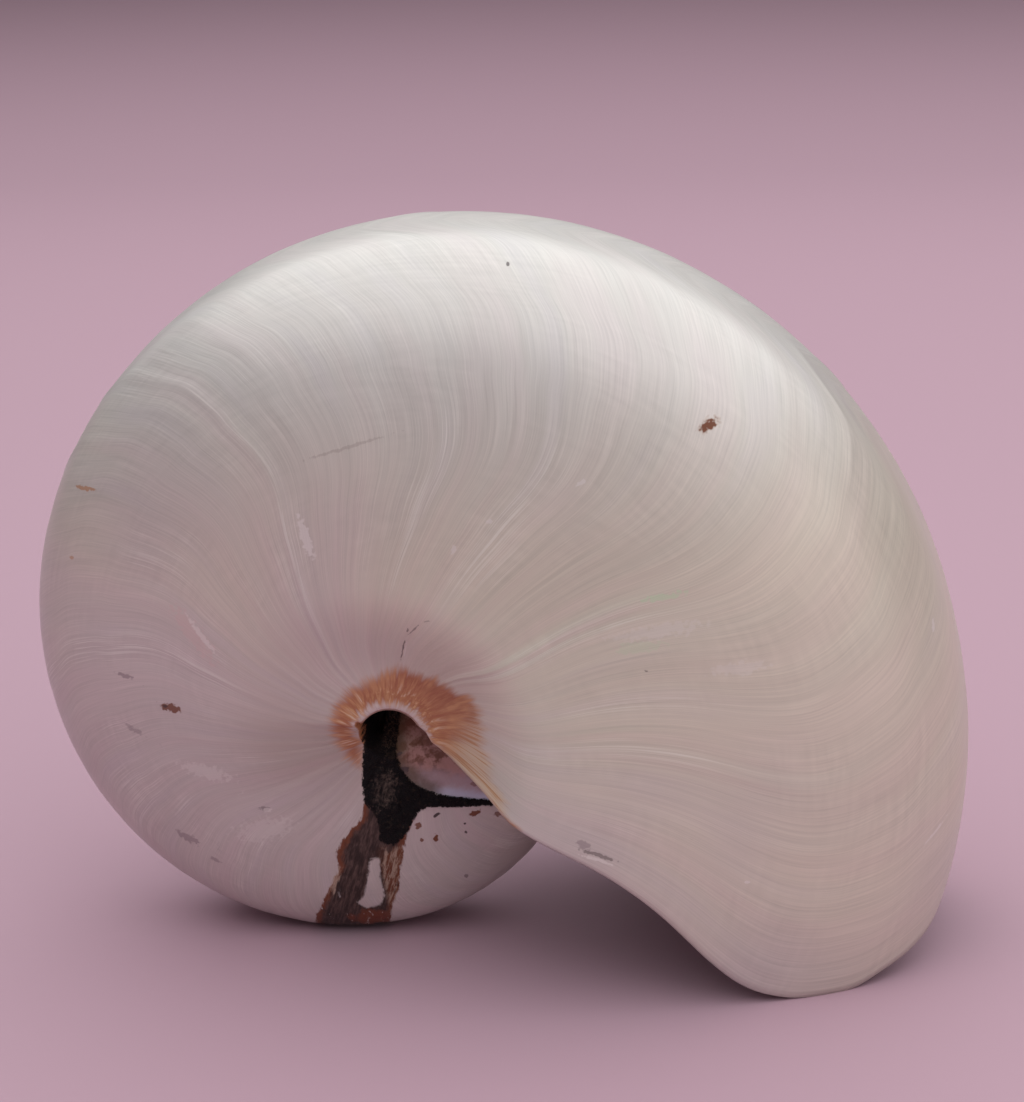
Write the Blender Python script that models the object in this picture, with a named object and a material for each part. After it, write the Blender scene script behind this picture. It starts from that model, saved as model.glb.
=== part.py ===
"""Polished pearl nautilus shell, whole, standing on its last whorl and on the two lobes of its lip.

The shell coils in the XZ plane about an axis along Y and is the same on both sides of Y = 0.
Its skin is one closed surface: the outside of the last turn from the lip back round to the
part under the lip, the body chamber inside the lip, the partition at the chamber's back with
its small pore, and the air space behind the partition. Units are metres and degrees.
"""

import math

import bmesh
import bpy
from mathutils import Quaternion, Vector

# Place of the coiling axis, with the shell standing on z = 0
AXIS_X = -0.016265
AXIS_Z = 0.04190

# Spiral: distance from the axis to the rim of the coil, for an angle counted from +X towards +Z.
# The shell is older, and smaller, as the angle grows.
RADIUS_AT_ZERO = 0.0900
GROWTH_PER_TURN = 2.829
GROWTH_DRIFT = -0.0137
DRIFT_CENTRE = 2.30

# Cross-section of the whorl: half width over radius, and the powers of its rounded outline
HALF_WIDTH_RATIO = 0.3936
RADIAL_POWER = 2.512
WIDTH_POWER = 3.401

# Umbilicus: the flanks sink to the height that they have at this angle, and end in a round pit
HUB_LEVEL_ANGLE = 180.0
DIMPLE_START = 0.0050
DIMPLE_END = 0.0240
PIT_X = 0.0004
PIT_Z = -0.0026
PIT_RADIUS = 0.0050
PIT_FLOOR = 0.0115
PIT_STEPS = ((0.92, 0.55), (0.72, 0.16), (0.40, 0.03))

# Lip: how far it stands from angle zero, along the section from the umbilicus (0) to the rim (1)
LIP_SHAPE = (
    (0.026, 0.0),
    (0.043, -20.5),
    (0.090, -22.8),
    (0.150, -28.0),
    (0.215, -28.4),
    (0.257, -29.4),
    (0.296, -30.8),
    (0.336, -32.5),
    (0.380, -34.0),
    (0.430, -34.7),
    (0.485, -33.9),
    (0.540, -32.15),
    (0.600, -30.0),
    (0.652, -27.4),
    (0.724, -24.7),
    (0.822, -21.5),
    (0.920, -15.5),
    (1.000, -13.0),
)

# Wall and body chamber
LIP_THICKNESS = 0.0012
WALL_THICKNESS = 0.0020
THICKENING_ROWS = 3
CHAMBER_BACK_ANGLE = 88.0
CHAMBER_SEAM_RADIUS = 0.0065
CHAMBER_CORNER = 0.0075
SEAM_BLEND_ANGLE = 30.0
PARTITION_DEPTH = 13.0
PARTITION_THICKNESS = 0.0020
LIP_ROUNDING = 0.35

# Air space behind the partition, one room, and the pore that leads to it
AIR_FRONT_STEPS = (0.25, 0.50, 0.75, 1.00)
AIR_END_ANGLE = 335.0
AIR_WALL = 0.0020
PORE_RADIUS = 0.0020
PORE_LENGTH = 0.0120
PORE_PLACE = 0.45
PORE_TURN = 15.0

# Rows of the surface
SECTION_STEPS = 20
SECTION_CROWDING = 1.6
SOLVE_STEPS = 40
SMALL = 1e-6
OUTSIDE_ROWS = 56
CHAMBER_ROWS = 14
PARTITION_ROWS = 6
LIP_ROWS = 4
AIR_ROWS = 18
AIR_STEPS = 6
PORE_SIDES = 12

# Finish
PEARL_COLOUR = (0.62, 0.55, 0.50, 1.0)
PEARL_ROUGHNESS = 0.28
SHARP_ANGLE = 50.0


def clear_scene():
    for item in list(bpy.data.objects):
        bpy.data.objects.remove(item, do_unlink=True)


def smooth(amount):
    amount = min(max(amount, 0.0), 1.0)
    return amount * amount * (3.0 - 2.0 * amount)


def whorl_radius(angle):
    drift = (angle - DRIFT_CENTRE) ** 2 - DRIFT_CENTRE ** 2
    growth = math.log(GROWTH_PER_TURN) * angle / (2.0 * math.pi)
    return RADIUS_AT_ZERO * math.exp(GROWTH_DRIFT * drift - growth)


def section_width(reach):
    """Half width of the section over its greatest, at a reach of 0 on the axis to 1 on the rim."""
    return max(1.0 - reach ** RADIAL_POWER, 0.0) ** (1.0 / WIDTH_POWER)


def section_place(reach):
    """Place along the section: 0 at the axis, 1 at the rim."""
    return 0.5 * (1.0 + reach - section_width(reach))


def section_reach(place):
    """Reach at a place along the section, found by halving the interval that holds it."""
    low = 0.0
    high = 1.0
    for _ in range(SOLVE_STEPS):
        middle = 0.5 * (low + high)
        if section_place(middle) < place:
            low = middle
        else:
            high = middle
    return 0.5 * (low + high)


def lip_offset(place):
    """Angle of the lip at a place along the section, a smooth curve through LIP_SHAPE."""
    points = LIP_SHAPE
    if place <= points[0][0]:
        return math.radians(points[0][1])
    if place >= points[-1][0]:
        return math.radians(points[-1][1])
    index = max(i for i, point in enumerate(points) if point[0] <= place)
    slopes = []
    for i in (index, index + 1):
        if i == 0 or i == len(points) - 1:
            slopes.append(0.0)
            continue
        before = (points[i][1] - points[i - 1][1]) / (points[i][0] - points[i - 1][0])
        after = (points[i + 1][1] - points[i][1]) / (points[i + 1][0] - points[i][0])
        turning = before * after <= 0.0
        slopes.append(0.0 if turning else 2.0 * before * after / (before + after))
    span = points[index + 1][0] - points[index][0]
    t = (place - points[index][0]) / span
    rise = points[index][1] + (points[index + 1][1] - points[index][1]) * t * t * (3.0 - 2.0 * t)
    bend = span * (slopes[0] * t * (1.0 - t) ** 2 - slopes[1] * t * t * (1.0 - t))
    return math.radians(rise + bend)


def flank_height(angle, radius):
    """Distance of the outside from the middle plane, with the flank sunk near the umbilicus."""
    rim = whorl_radius(angle)
    height = HALF_WIDTH_RATIO * rim * section_width(min(radius / rim, 1.0))
    level = whorl_radius(max(angle, math.radians(HUB_LEVEL_ANGLE)))
    sink = HALF_WIDTH_RATIO * (rim - level)
    return height - sink * (1.0 - smooth((radius - DIMPLE_START) / (DIMPLE_END - DIMPLE_START)))


def pit_edge(angle):
    """Distance from the axis to the edge of the pit, a circle set a little below the axis."""
    along = PIT_X * math.cos(angle) + PIT_Z * math.sin(angle)
    return along + math.sqrt(along ** 2 + PIT_RADIUS ** 2 - PIT_X ** 2 - PIT_Z ** 2)


def place_point(angle, radius, height, side):
    x = AXIS_X + radius * math.cos(angle)
    z = AXIS_Z + radius * math.sin(angle)
    return Vector((x, side * height, z))


def section_row(start, make_point):
    """One row over the section, from the near umbilicus over the rim to the far one."""
    row = []
    for step in range(2 * SECTION_STEPS + 1):
        side = math.copysign(1.0, step - SECTION_STEPS) if step != SECTION_STEPS else 0.0
        spread = (1.0 - abs(step - SECTION_STEPS) / SECTION_STEPS) ** SECTION_CROWDING
        row.append(make_point(start + (1.0 - start) * spread, side))
    return row


def outside_row(stage):
    """Row of the outside that follows a growth line, a stage of 0 being the lip."""
    turn = 2.0 * math.pi
    seam = smooth(1.0 - (turn - stage) / math.radians(SEAM_BLEND_ANGLE))
    angle = stage
    for _ in range(8):
        edge = pit_edge(angle) * (1.0 - seam) + CHAMBER_SEAM_RADIUS * seam
        start = section_place(edge / whorl_radius(angle))
        angle = stage + lip_offset(start)

    def make_point(place, side):
        turned = stage + lip_offset(place)
        radius = section_reach(place) * whorl_radius(turned)
        return place_point(turned, radius, flank_height(turned, radius), side)

    return section_row(start, make_point)


def chamber_angle(place, depth):
    """Angle in the chamber: the lip's own at a depth of 0, the chamber's back at 1."""
    return (1.0 - depth) * lip_offset(place) + depth * math.radians(CHAMBER_BACK_ANGLE)


def floor_row(depth):
    """Row of the chamber's floor, which is the shell's outside one turn earlier."""
    turn = 2.0 * math.pi
    angle = turn
    for _ in range(8):
        start = section_place(CHAMBER_SEAM_RADIUS / whorl_radius(angle))
        angle = turn + chamber_angle(start, depth)

    def make_point(place, side):
        turned = turn + chamber_angle(place, depth)
        radius = section_reach(place) * whorl_radius(turned)
        return place_point(turned, radius, flank_height(turned, radius), side)

    return section_row(start, make_point)


def ceiling_height(angle, radius, wall):
    """Inside of the wall, a wall's thickness under the flank and rounded down to the floor."""
    inner_rim = whorl_radius(angle) - wall
    reach = min(radius / inner_rim, 1.0)
    half = HALF_WIDTH_RATIO * whorl_radius(angle)
    sink = half * section_width(radius / whorl_radius(angle)) - flank_height(angle, radius)
    roof = (half - wall) * section_width(reach) - sink
    floor = flank_height(angle + 2.0 * math.pi, CHAMBER_SEAM_RADIUS)
    rise = min(max((radius - CHAMBER_SEAM_RADIUS) / CHAMBER_CORNER, 0.0), 1.0)
    return floor + (roof - floor) * math.sqrt(max(1.0 - (1.0 - rise) ** 2, 0.0))


def ceiling_row(depth, wall):
    """Row of the chamber's ceiling; its two ends lie on the floor's ends."""

    angle = chamber_angle(0.0, depth)
    for _ in range(8):
        start = section_place(CHAMBER_SEAM_RADIUS / (whorl_radius(angle) - wall))
        angle = chamber_angle(start, depth)

    def make_point(place, side):
        turned = chamber_angle(place, depth)
        radius = section_reach(place) * (whorl_radius(turned) - wall)
        return place_point(turned, radius, ceiling_height(turned, radius, wall), side)

    return section_row(start, make_point)


def turn_about_axis(point, angle):
    x = point.x - AXIS_X
    z = point.z - AXIS_Z
    turned_x = x * math.cos(angle) - z * math.sin(angle)
    turned_z = x * math.sin(angle) + z * math.cos(angle)
    return Vector((AXIS_X + turned_x, point.y, AXIS_Z + turned_z))


def partition_bulge(radius, height):
    """Angle that the partition, shaped like a watch glass, bulges away from the lip."""
    angle = math.radians(CHAMBER_BACK_ANGLE)
    rim = whorl_radius(angle)
    hub = whorl_radius(angle + 2.0 * math.pi)
    upward = min(max(2.0 * (radius - hub) / (rim - hub) - 1.0, -1.0), 1.0)
    half = HALF_WIDTH_RATIO * rim * max(section_width(min(radius / rim, 1.0)), SMALL)
    sideways = min(abs(height) / half, 1.0)
    return math.radians(PARTITION_DEPTH) * (1.0 - upward ** 2) * (1.0 - sideways ** 2)


def partition_row(ceiling, floor, amount):
    """Row of the partition between the ceiling and the floor."""
    row = []
    for top, bottom in zip(ceiling, floor):
        point = top.lerp(bottom, amount)
        radius = math.hypot(point.x - AXIS_X, point.z - AXIS_Z)
        row.append(turn_about_axis(point, partition_bulge(radius, point.y)))
    return row


def lip_row(outer, inner, amount):
    """Row of the lip's rounded edge, between the outside and the ceiling."""
    row = []
    for step in range(2 * SECTION_STEPS + 1):
        gap = (outer[step] - inner[step]).length
        swell = min(gap, LIP_THICKNESS) * LIP_ROUNDING * math.sin(math.pi * amount)
        point = outer[step].lerp(inner[step], amount)
        radius = math.hypot(point.x - AXIS_X, point.z - AXIS_Z)
        row.append(turn_about_axis(point, -swell / radius))
    return row


def skin_rows():
    """All rows of the closed band, in order, starting at the lip and ending beside it."""
    turn = 2.0 * math.pi
    outside = [outside_row(turn * i / OUTSIDE_ROWS) for i in range(OUTSIDE_ROWS + 1)]
    floor = [floor_row(i / CHAMBER_ROWS) for i in range(CHAMBER_ROWS + 1)]
    floor[0] = outside[-1]
    ceiling = []
    for i in range(CHAMBER_ROWS + 1):
        grown = smooth(i / THICKENING_ROWS)
        wall = LIP_THICKNESS + (WALL_THICKNESS - LIP_THICKNESS) * grown
        row = ceiling_row(i / CHAMBER_ROWS, wall)
        row[0] = floor[i][0]
        row[-1] = floor[i][-1]
        ceiling.append(row)
    steps = range(1, PARTITION_ROWS)
    partition = [partition_row(ceiling[-1], floor[-1], i / PARTITION_ROWS) for i in steps]
    lip = [lip_row(outside[0], ceiling[0], i / LIP_ROWS) for i in range(1, LIP_ROWS)]
    return outside, floor, partition, ceiling, lip


def add_faces(mesh, first, second):
    """Faces between two rows, left out where the rows run together at an end."""
    for i in range(len(first) - 1):
        corners = []
        for vert in (first[i], first[i + 1], second[i + 1], second[i]):
            if vert not in corners:
                corners.append(vert)
        if len(corners) > 2:
            mesh.faces.new(corners)


def add_pit(mesh, loop, side):
    """The pit in the umbilicus, narrowing in steps from its edge to its floor."""
    centre = Vector((AXIS_X + PIT_X, side * PIT_FLOOR, AXIS_Z + PIT_Z))
    rings = [loop]
    for shrink, rise in PIT_STEPS:
        ring = []
        for vert in loop:
            x = centre.x + (vert.co.x - centre.x) * shrink
            z = centre.z + (vert.co.z - centre.z) * shrink
            y = centre.y + (vert.co.y - centre.y) * rise
            ring.append(mesh.verts.new((x, y, z)))
        rings.append(ring)
    count = len(loop)
    for outer, inner in zip(rings, rings[1:]):
        for i in range(count):
            j = (i + 1) % count
            mesh.faces.new((outer[i], outer[j], inner[j], inner[i]))
    middle = mesh.verts.new(centre)
    for i in range(count):
        mesh.faces.new((rings[-1][i], rings[-1][(i + 1) % count], middle))


def build_skin():
    """The closed skin of the shell with its chamber, before the air space is taken out."""
    outside, floor, partition, ceiling, lip = skin_rows()
    mesh = bmesh.new()
    made = {}

    def verts_of(row):
        result = []
        for point in row:
            key = tuple(round(value, 8) for value in point)
            if key not in made:
                made[key] = mesh.verts.new(point)
            result.append(made[key])
        return result

    band = [verts_of(row) for row in outside + floor[1:]]
    band += [verts_of(row) for row in reversed(partition)]
    band += [verts_of(row) for row in reversed(ceiling)]
    lip_verts = [verts_of(row) for row in reversed(lip)]
    band += lip_verts
    for first, second in zip(band, band[1:] + band[:1]):
        add_faces(mesh, first, second)
    for end, side in ((0, -1.0), (-1, 1.0)):
        loop = [row[end] for row in band[:OUTSIDE_ROWS + 1]]
        loop += [row[end] for row in lip_verts]
        add_pit(mesh, loop, side)
    return mesh


def flatten_feet(mesh):
    """Small flats where the shell touches what it stands on."""
    geometry = mesh.verts[:] + mesh.edges[:] + mesh.faces[:]
    cut = bmesh.ops.bisect_plane(
        mesh, geom=geometry, dist=1e-7, plane_co=(0, 0, 0), plane_no=(0, 0, -1), clear_outer=True
    )
    edges = [item for item in cut["geom_cut"] if isinstance(item, bmesh.types.BMEdge)]
    bmesh.ops.holes_fill(mesh, edges=edges, sides=0)


def mesh_object(name, mesh):
    bmesh.ops.recalc_face_normals(mesh, faces=mesh.faces[:])
    data = bpy.data.meshes.new(name)
    mesh.to_mesh(data)
    mesh.free()
    made = bpy.data.objects.new(name, data)
    bpy.context.scene.collection.objects.link(made)
    return made


def air_ring(angle):
    """Section of the air space: rounded outside, closed in an oval above the inner whorl."""
    rim = whorl_radius(angle) - AIR_WALL
    hub = whorl_radius(angle + 2.0 * math.pi) + AIR_WALL
    half = HALF_WIDTH_RATIO * whorl_radius(angle) - AIR_WALL
    middle = 0.5 * (rim + hub)
    side_points = []
    for i in range(1, AIR_STEPS + 1):
        turn = 0.5 * math.pi * i / AIR_STEPS
        radius = middle + (rim - middle) * math.cos(turn)
        side_points.append((radius, half * section_width(radius / rim)))
    waist = side_points[-1][1]
    for i in range(1, AIR_STEPS):
        turn = 0.5 * math.pi * i / AIR_STEPS
        radius = middle - (middle - hub) * math.sin(turn)
        side_points.append((radius, waist * math.cos(turn)))
    near = [(radius, -height) for radius, height in side_points]
    return [(rim, 0.0)] + side_points + [(hub, 0.0)] + near[::-1]


def air_point(angle, radius, height):
    return Vector((AXIS_X + radius * math.cos(angle), height, AXIS_Z + radius * math.sin(angle)))


def air_front_point(radius, height):
    """Point of the air space's front, a partition's thickness behind the chamber's back."""
    angle = math.radians(CHAMBER_BACK_ANGLE) + PARTITION_THICKNESS / radius
    return air_point(angle + partition_bulge(radius, height), radius, height)


def build_air_space():
    """Closed horn that the air space is cut with, its front bulging as the partition does."""
    mesh = bmesh.new()
    back = math.radians(CHAMBER_BACK_ANGLE)
    end = math.radians(AIR_END_ANGLE)
    section = air_ring(back)
    middle = 0.5 * (section[0][0] + section[2 * AIR_STEPS][0])
    rings = []
    for shrink in AIR_FRONT_STEPS:
        points = [(middle + (r - middle) * shrink, h * shrink) for r, h in section]
        rings.append([mesh.verts.new(air_front_point(r, h)) for r, h in points])
    for i in range(1, AIR_ROWS + 1):
        angle = back + (end - back) * i / AIR_ROWS
        rings.append([mesh.verts.new(air_point(angle, r, h)) for r, h in air_ring(angle)])
    for first, second in zip(rings, rings[1:]):
        add_faces(mesh, first + first[:1], second + second[:1])
    tip = mesh.verts.new(air_front_point(middle, 0.0))
    for i, vert in enumerate(rings[0]):
        mesh.faces.new((vert, rings[0][(i + 1) % len(rings[0])], tip))
    mesh.faces.new(rings[-1])
    return mesh


def build_pore():
    """Cylinder that the pore is cut with, along the way round the coil."""
    back = math.radians(CHAMBER_BACK_ANGLE)
    rim = whorl_radius(back)
    hub = whorl_radius(back + 2.0 * math.pi)
    radius = hub + (rim - hub) * PORE_PLACE
    angle = back + partition_bulge(radius, 0.0)
    mesh = bmesh.new()
    bmesh.ops.create_cone(
        mesh, cap_ends=True, cap_tris=False, segments=PORE_SIDES,
        radius1=PORE_RADIUS, radius2=PORE_RADIUS, depth=PORE_LENGTH,
    )
    along = Vector((-math.sin(angle), 0.0, math.cos(angle)))
    turn = along.to_track_quat("Z", "Y") @ Quaternion((0.0, 0.0, 1.0), math.radians(PORE_TURN))
    bmesh.ops.transform(mesh, matrix=turn.to_matrix().to_4x4(), verts=mesh.verts[:])
    bmesh.ops.translate(mesh, vec=air_point(angle, radius, 0.0), verts=mesh.verts[:])
    return mesh


def cut_with(target, cutter):
    cutter.hide_render = True
    cutter.display_type = "WIRE"
    cutter.hide_set(True)
    cut = target.modifiers.new("cut " + cutter.name, "BOOLEAN")
    cut.operation = "DIFFERENCE"
    cut.solver = "EXACT"
    cut.object = cutter


def pearl_material():
    material = bpy.data.materials.new("pearl")
    material.use_nodes = True
    shader = material.node_tree.nodes["Principled BSDF"]
    shader.inputs["Base Color"].default_value = PEARL_COLOUR
    shader.inputs["Roughness"].default_value = PEARL_ROUGHNESS
    shader.inputs["Metallic"].default_value = 0.0
    material.diffuse_color = PEARL_COLOUR
    return material


def build_shell():
    skin = build_skin()
    flatten_feet(skin)
    shell = mesh_object("shell", skin)
    shell.data.shade_smooth()
    shell.data.set_sharp_from_angle(angle=math.radians(SHARP_ANGLE))
    shell.data.materials.append(pearl_material())
    cut_with(shell, mesh_object("air_space", build_air_space()))
    cut_with(shell, mesh_object("pore", build_pore()))
    return shell


def main():
    clear_scene()
    build_shell()


main()
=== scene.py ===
"""Looks of a polished pearl nautilus shell, laid out as a Blender add-on and run as a script.

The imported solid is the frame. A finer shell with the same spiral, section and lip stands for it,
with its growth relief, its stained umbilicus and its mother-of-pearl finish. Units are metres and
degrees; places of marks are millimetres from the coiling axis, x to the right and z up.
"""

import math

import bpy
import numpy as np
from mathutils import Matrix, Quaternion, Vector, noise


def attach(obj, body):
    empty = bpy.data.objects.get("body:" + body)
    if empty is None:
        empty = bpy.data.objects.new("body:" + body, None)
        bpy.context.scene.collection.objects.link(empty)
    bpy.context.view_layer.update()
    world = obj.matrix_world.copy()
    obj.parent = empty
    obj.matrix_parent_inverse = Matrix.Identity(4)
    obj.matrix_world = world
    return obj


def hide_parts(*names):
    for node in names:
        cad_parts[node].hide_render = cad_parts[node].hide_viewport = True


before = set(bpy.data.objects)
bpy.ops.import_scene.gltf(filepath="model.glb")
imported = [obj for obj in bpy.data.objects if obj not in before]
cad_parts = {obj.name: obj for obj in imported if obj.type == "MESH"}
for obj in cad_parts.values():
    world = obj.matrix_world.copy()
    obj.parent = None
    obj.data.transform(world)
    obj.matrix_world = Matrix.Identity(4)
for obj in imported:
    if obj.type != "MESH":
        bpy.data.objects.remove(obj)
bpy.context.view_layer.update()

bl_info = {
    "name": "Nautilus shell",
    "version": (1, 0, 0),
    "blender": (4, 5, 0),
    "location": "3D View > Sidebar > Shell",
    "description": "Grows a polished pearl nautilus shell and lights it",
    "category": "Object",
}

TURN = 2.0 * math.pi
MILLIMETRES = 1000.0

# Place of the coiling axis, with the shell standing on z = 0
AXIS_X = -0.016265
AXIS_Z = 0.04190

# Spiral and section, as in the solid
RADIUS_AT_ZERO = 0.0900
GROWTH_PER_TURN = 2.829
GROWTH_DRIFT = -0.0137
DRIFT_CENTRE = 2.30
HALF_WIDTH_RATIO = 0.3936
RADIAL_POWER = 2.512
WIDTH_POWER = 3.401

# Umbilicus, as in the solid
HUB_LEVEL_ANGLE = 180.0
DIMPLE_START = 0.0050
DIMPLE_END = 0.0240
PIT_X = 0.0004
PIT_Z = -0.0026
PIT_RADIUS = 0.0050
PIT_FLOOR = 0.0115

# Softer slopes of the pit, which the solid doesn't have
PIT_MIDDLE_X = -0.0013
PIT_MIDDLE_Z = -0.0011
PIT_STEEPNESS = 6.5
PIT_NARROWING = 1.4
SHELF_DIRECTION = math.radians(-50.0)
SHELF_STEEPNESS = 0.9
SHELF_SOFTNESS = 0.75

# Lip: how far it stands from angle zero, along the section from the umbilicus (0) to the rim (1)
LIP_SHAPE = (
    (0.000, 0.0),
    (0.026, 0.0),
    (0.043, -20.5),
    (0.090, -22.8),
    (0.150, -28.0),
    (0.215, -28.4),
    (0.257, -29.4),
    (0.296, -30.8),
    (0.336, -32.5),
    (0.380, -34.0),
    (0.430, -34.7),
    (0.485, -33.9),
    (0.540, -32.15),
    (0.600, -30.0),
    (0.652, -27.4),
    (0.724, -24.7),
    (0.822, -21.5),
    (0.920, -15.5),
    (1.000, -13.0),
)
LIP_LOWEST = 36.0

# Wall, body chamber and partition, as in the solid
LIP_THICKNESS = 0.0012
WALL_THICKNESS = 0.0020
THICKENING_DEPTH = 0.214
CHAMBER_BACK_ANGLE = 88.0
CHAMBER_SEAM_RADIUS = 0.0065
CHAMBER_CORNER = 0.0075
SEAM_BLEND_ANGLE = 30.0
PARTITION_DEPTH = 13.0
LIP_ROUNDING = 0.35

# Rows and columns of the surface
ROWS_PER_TURN = 380
COLUMNS_PER_SIDE = 96
CHAMBER_ROWS = 28
PARTITION_ROWS = 8
LIP_ROWS = 5
PIT_ROWS = 12
RIM_CROWDING = 1.7
HUB_CROWDING = 1.5

# Rounds that find where a growth line starts, and how close counts as a sheet's edge
SOLVE_ROUNDS = 3
SEAM_SPREAD = 0.9999
PARTITION_EDGE = 0.001
WELD_DISTANCE = 0.000002


class Term:
    """A node's output in an expression: an operator adds a Math node to the same tree."""

    def __init__(self, nodes, socket):
        self.nodes = nodes
        self.socket = socket

    def math(self, operation, *others):
        return self.nodes.maths(operation, self, *others)

    def other(self, key):
        """Another output of the same node."""
        return Term(self.nodes, self.socket.node.outputs[key])

    def __add__(self, other):
        return self.math("ADD", other)

    def __sub__(self, other):
        return self.math("SUBTRACT", other)

    def __rsub__(self, other):
        return self.nodes.maths("SUBTRACT", other, self)

    def __mul__(self, other):
        return self.math("MULTIPLY", other)

    def __rmul__(self, other):
        return self.nodes.maths("MULTIPLY", other, self)

    def __truediv__(self, other):
        return self.math("DIVIDE", other)

    def __rtruediv__(self, other):
        return self.nodes.maths("DIVIDE", other, self)

    def __pow__(self, other):
        return self.math("POWER", other)

    def __neg__(self):
        return self.math("MULTIPLY", -1.0)

    def __abs__(self):
        return self.math("ABSOLUTE")


def hypotenuse(across, up):
    return (across * across + up * up).math("SQRT")


class Nodes:
    """A node tree, with one method that makes its nodes."""

    def __init__(self, tree):
        self.tree = tree

    def node(self, kind, settings=None, values=None, output=0):
        made = self.tree.nodes.new(kind)
        for name, value in (settings or {}).items():
            if name == "stops":
                set_stops(made.color_ramp, value)
            elif name == "points":
                set_points(made.mapping, value)
            else:
                setattr(made, name, value)
        for key, value in (values or {}).items():
            if isinstance(value, Term):
                self.tree.links.new(value.socket, made.inputs[key])
            else:
                made.inputs[key].default_value = value
        return Term(self, made.outputs[output]) if made.outputs else None

    def maths(self, operation, *terms):
        return self.node("ShaderNodeMath", {"operation": operation}, dict(enumerate(terms)))

    def smooth(self, value, low, high):
        """0 below low, 1 above high, and smooth between them."""
        return self.node(
            "ShaderNodeMapRange", {"interpolation_type": "SMOOTHSTEP"}, {0: value, 1: low, 2: high}
        )

    def fade(self, value, low, high):
        """1 below low, 0 above high, and smooth between them."""
        return 1.0 - self.smooth(value, low, high)

    def between(self, value, rise, fall):
        """0 at both ends and 1 between them; the rise and the fall are two places each."""
        return self.smooth(value, *rise) * self.fade(value, *fall)

    def vector(self, x, y, z):
        return self.node("ShaderNodeCombineXYZ", None, {0: x, 1: y, 2: z})

    def split(self, vector):
        x = self.node("ShaderNodeSeparateXYZ", None, {0: vector})
        return x, x.other(1), x.other(2)

    def mix_vector(self, factor, first, second):
        return self.node("ShaderNodeMix", {"data_type": "VECTOR"}, {0: factor, 4: first, 5: second}, 1)

    def mix_colour(self, factor, first, second, blend="MIX"):
        settings = {"data_type": "RGBA", "blend_type": blend}
        return self.node("ShaderNodeMix", settings, {0: factor, 6: first, 7: second}, 2)


def set_stops(ramp, stops):
    while len(ramp.elements) < len(stops):
        ramp.elements.new(1.0)
    for element, (place, colour) in zip(ramp.elements, stops):
        element.position = place
        element.color = colour


def set_points(mapping, points):
    curve = mapping.curves[0]
    while len(curve.points) < len(points):
        curve.points.new(0.5, 0.5)
    for point, (x, y) in zip(curve.points, points):
        point.location = (x, y)
        point.handle_type = "AUTO_CLAMPED"
    mapping.update()


# Rules of growth, as fields of Geometry Nodes. Each is a node group that is made once.

SIZE_NAMES = ("Rim radius", "Growth per turn", "Half width ratio")


class Rules(Nodes):
    """A tree of fields in which the rules of growth can be used."""

    groups = {}

    def __init__(self, tree, sizes):
        super().__init__(tree)
        self.sizes = sizes

    def use(self, rule, *values):
        """What a rule gives for these values: one Term, or a tuple of them."""
        if rule not in self.groups:
            self.groups[rule] = made_group(rule, len(values))
        inputs = [self.sizes[name] for name in SIZE_NAMES] + list(values)
        first = self.node("GeometryNodeGroup", {"node_tree": self.groups[rule]}, dict(enumerate(inputs)))
        count = len(first.socket.node.outputs)
        results = tuple(first.other(index) for index in range(count))
        return results if count > 1 else first


def made_group(rule, count):
    """A node group of one rule, with a float input for each of its values."""
    tree = bpy.data.node_groups.new(rule.__name__, "GeometryNodeTree")
    names = list(SIZE_NAMES) + [f"Value {index + 1}" for index in range(count)]
    for name in names:
        tree.interface.new_socket(name, in_out="INPUT", socket_type="NodeSocketFloat")
    entry = Nodes(tree).node("NodeGroupInput")
    terms = [entry.other(index) for index in range(len(names))]
    sizes = dict(zip(SIZE_NAMES, terms))
    inner = Rules(tree, sizes)
    for term in terms:
        term.nodes = inner
    results = rule(inner, *terms[len(SIZE_NAMES):])
    results = results if isinstance(results, tuple) else (results,)
    end = tree.nodes.new("NodeGroupOutput")
    for index, result in enumerate(results):
        kind = "NodeSocketVector" if result.socket.type == "VECTOR" else "NodeSocketFloat"
        tree.interface.new_socket(f"Result {index + 1}", in_out="OUTPUT", socket_type=kind)
        tree.links.new(result.socket, end.inputs[index])
    return tree


def whorl_radius(r, angle):
    """Distance from the axis to the rim of the coil."""
    away = angle - DRIFT_CENTRE
    drift = (away * away - DRIFT_CENTRE ** 2) * GROWTH_DRIFT
    rate = r.sizes["Growth per turn"].math("LOGARITHM", math.e) / TURN
    return r.sizes["Rim radius"] * (drift - rate * angle).math("EXPONENT")


def section(r, turn):
    """Reach, width and place on the section, from the rim (0) to the axis (a quarter turn)."""
    reach = turn.math("COSINE").math("MAXIMUM", 0.0) ** (2.0 / RADIAL_POWER)
    width = turn.math("SINE").math("MAXIMUM", 0.0) ** (2.0 / WIDTH_POWER)
    return reach, width, (reach - width) * 0.5 + 0.5


def section_turn(r, reach):
    """Where on the section a reach is found."""
    return (reach.math("MINIMUM", 1.0) ** (RADIAL_POWER / 2.0)).math("ARCCOSINE")


def lip_offset(r, place):
    """Angle of the lip at a place along the section."""
    points = [(x, 1.0 + degrees / LIP_LOWEST) for x, degrees in LIP_SHAPE]
    curve = r.node("ShaderNodeFloatCurve", {"points": points}, {0: 1.0, 1: place})
    return (curve - 1.0) * math.radians(LIP_LOWEST)


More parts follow.
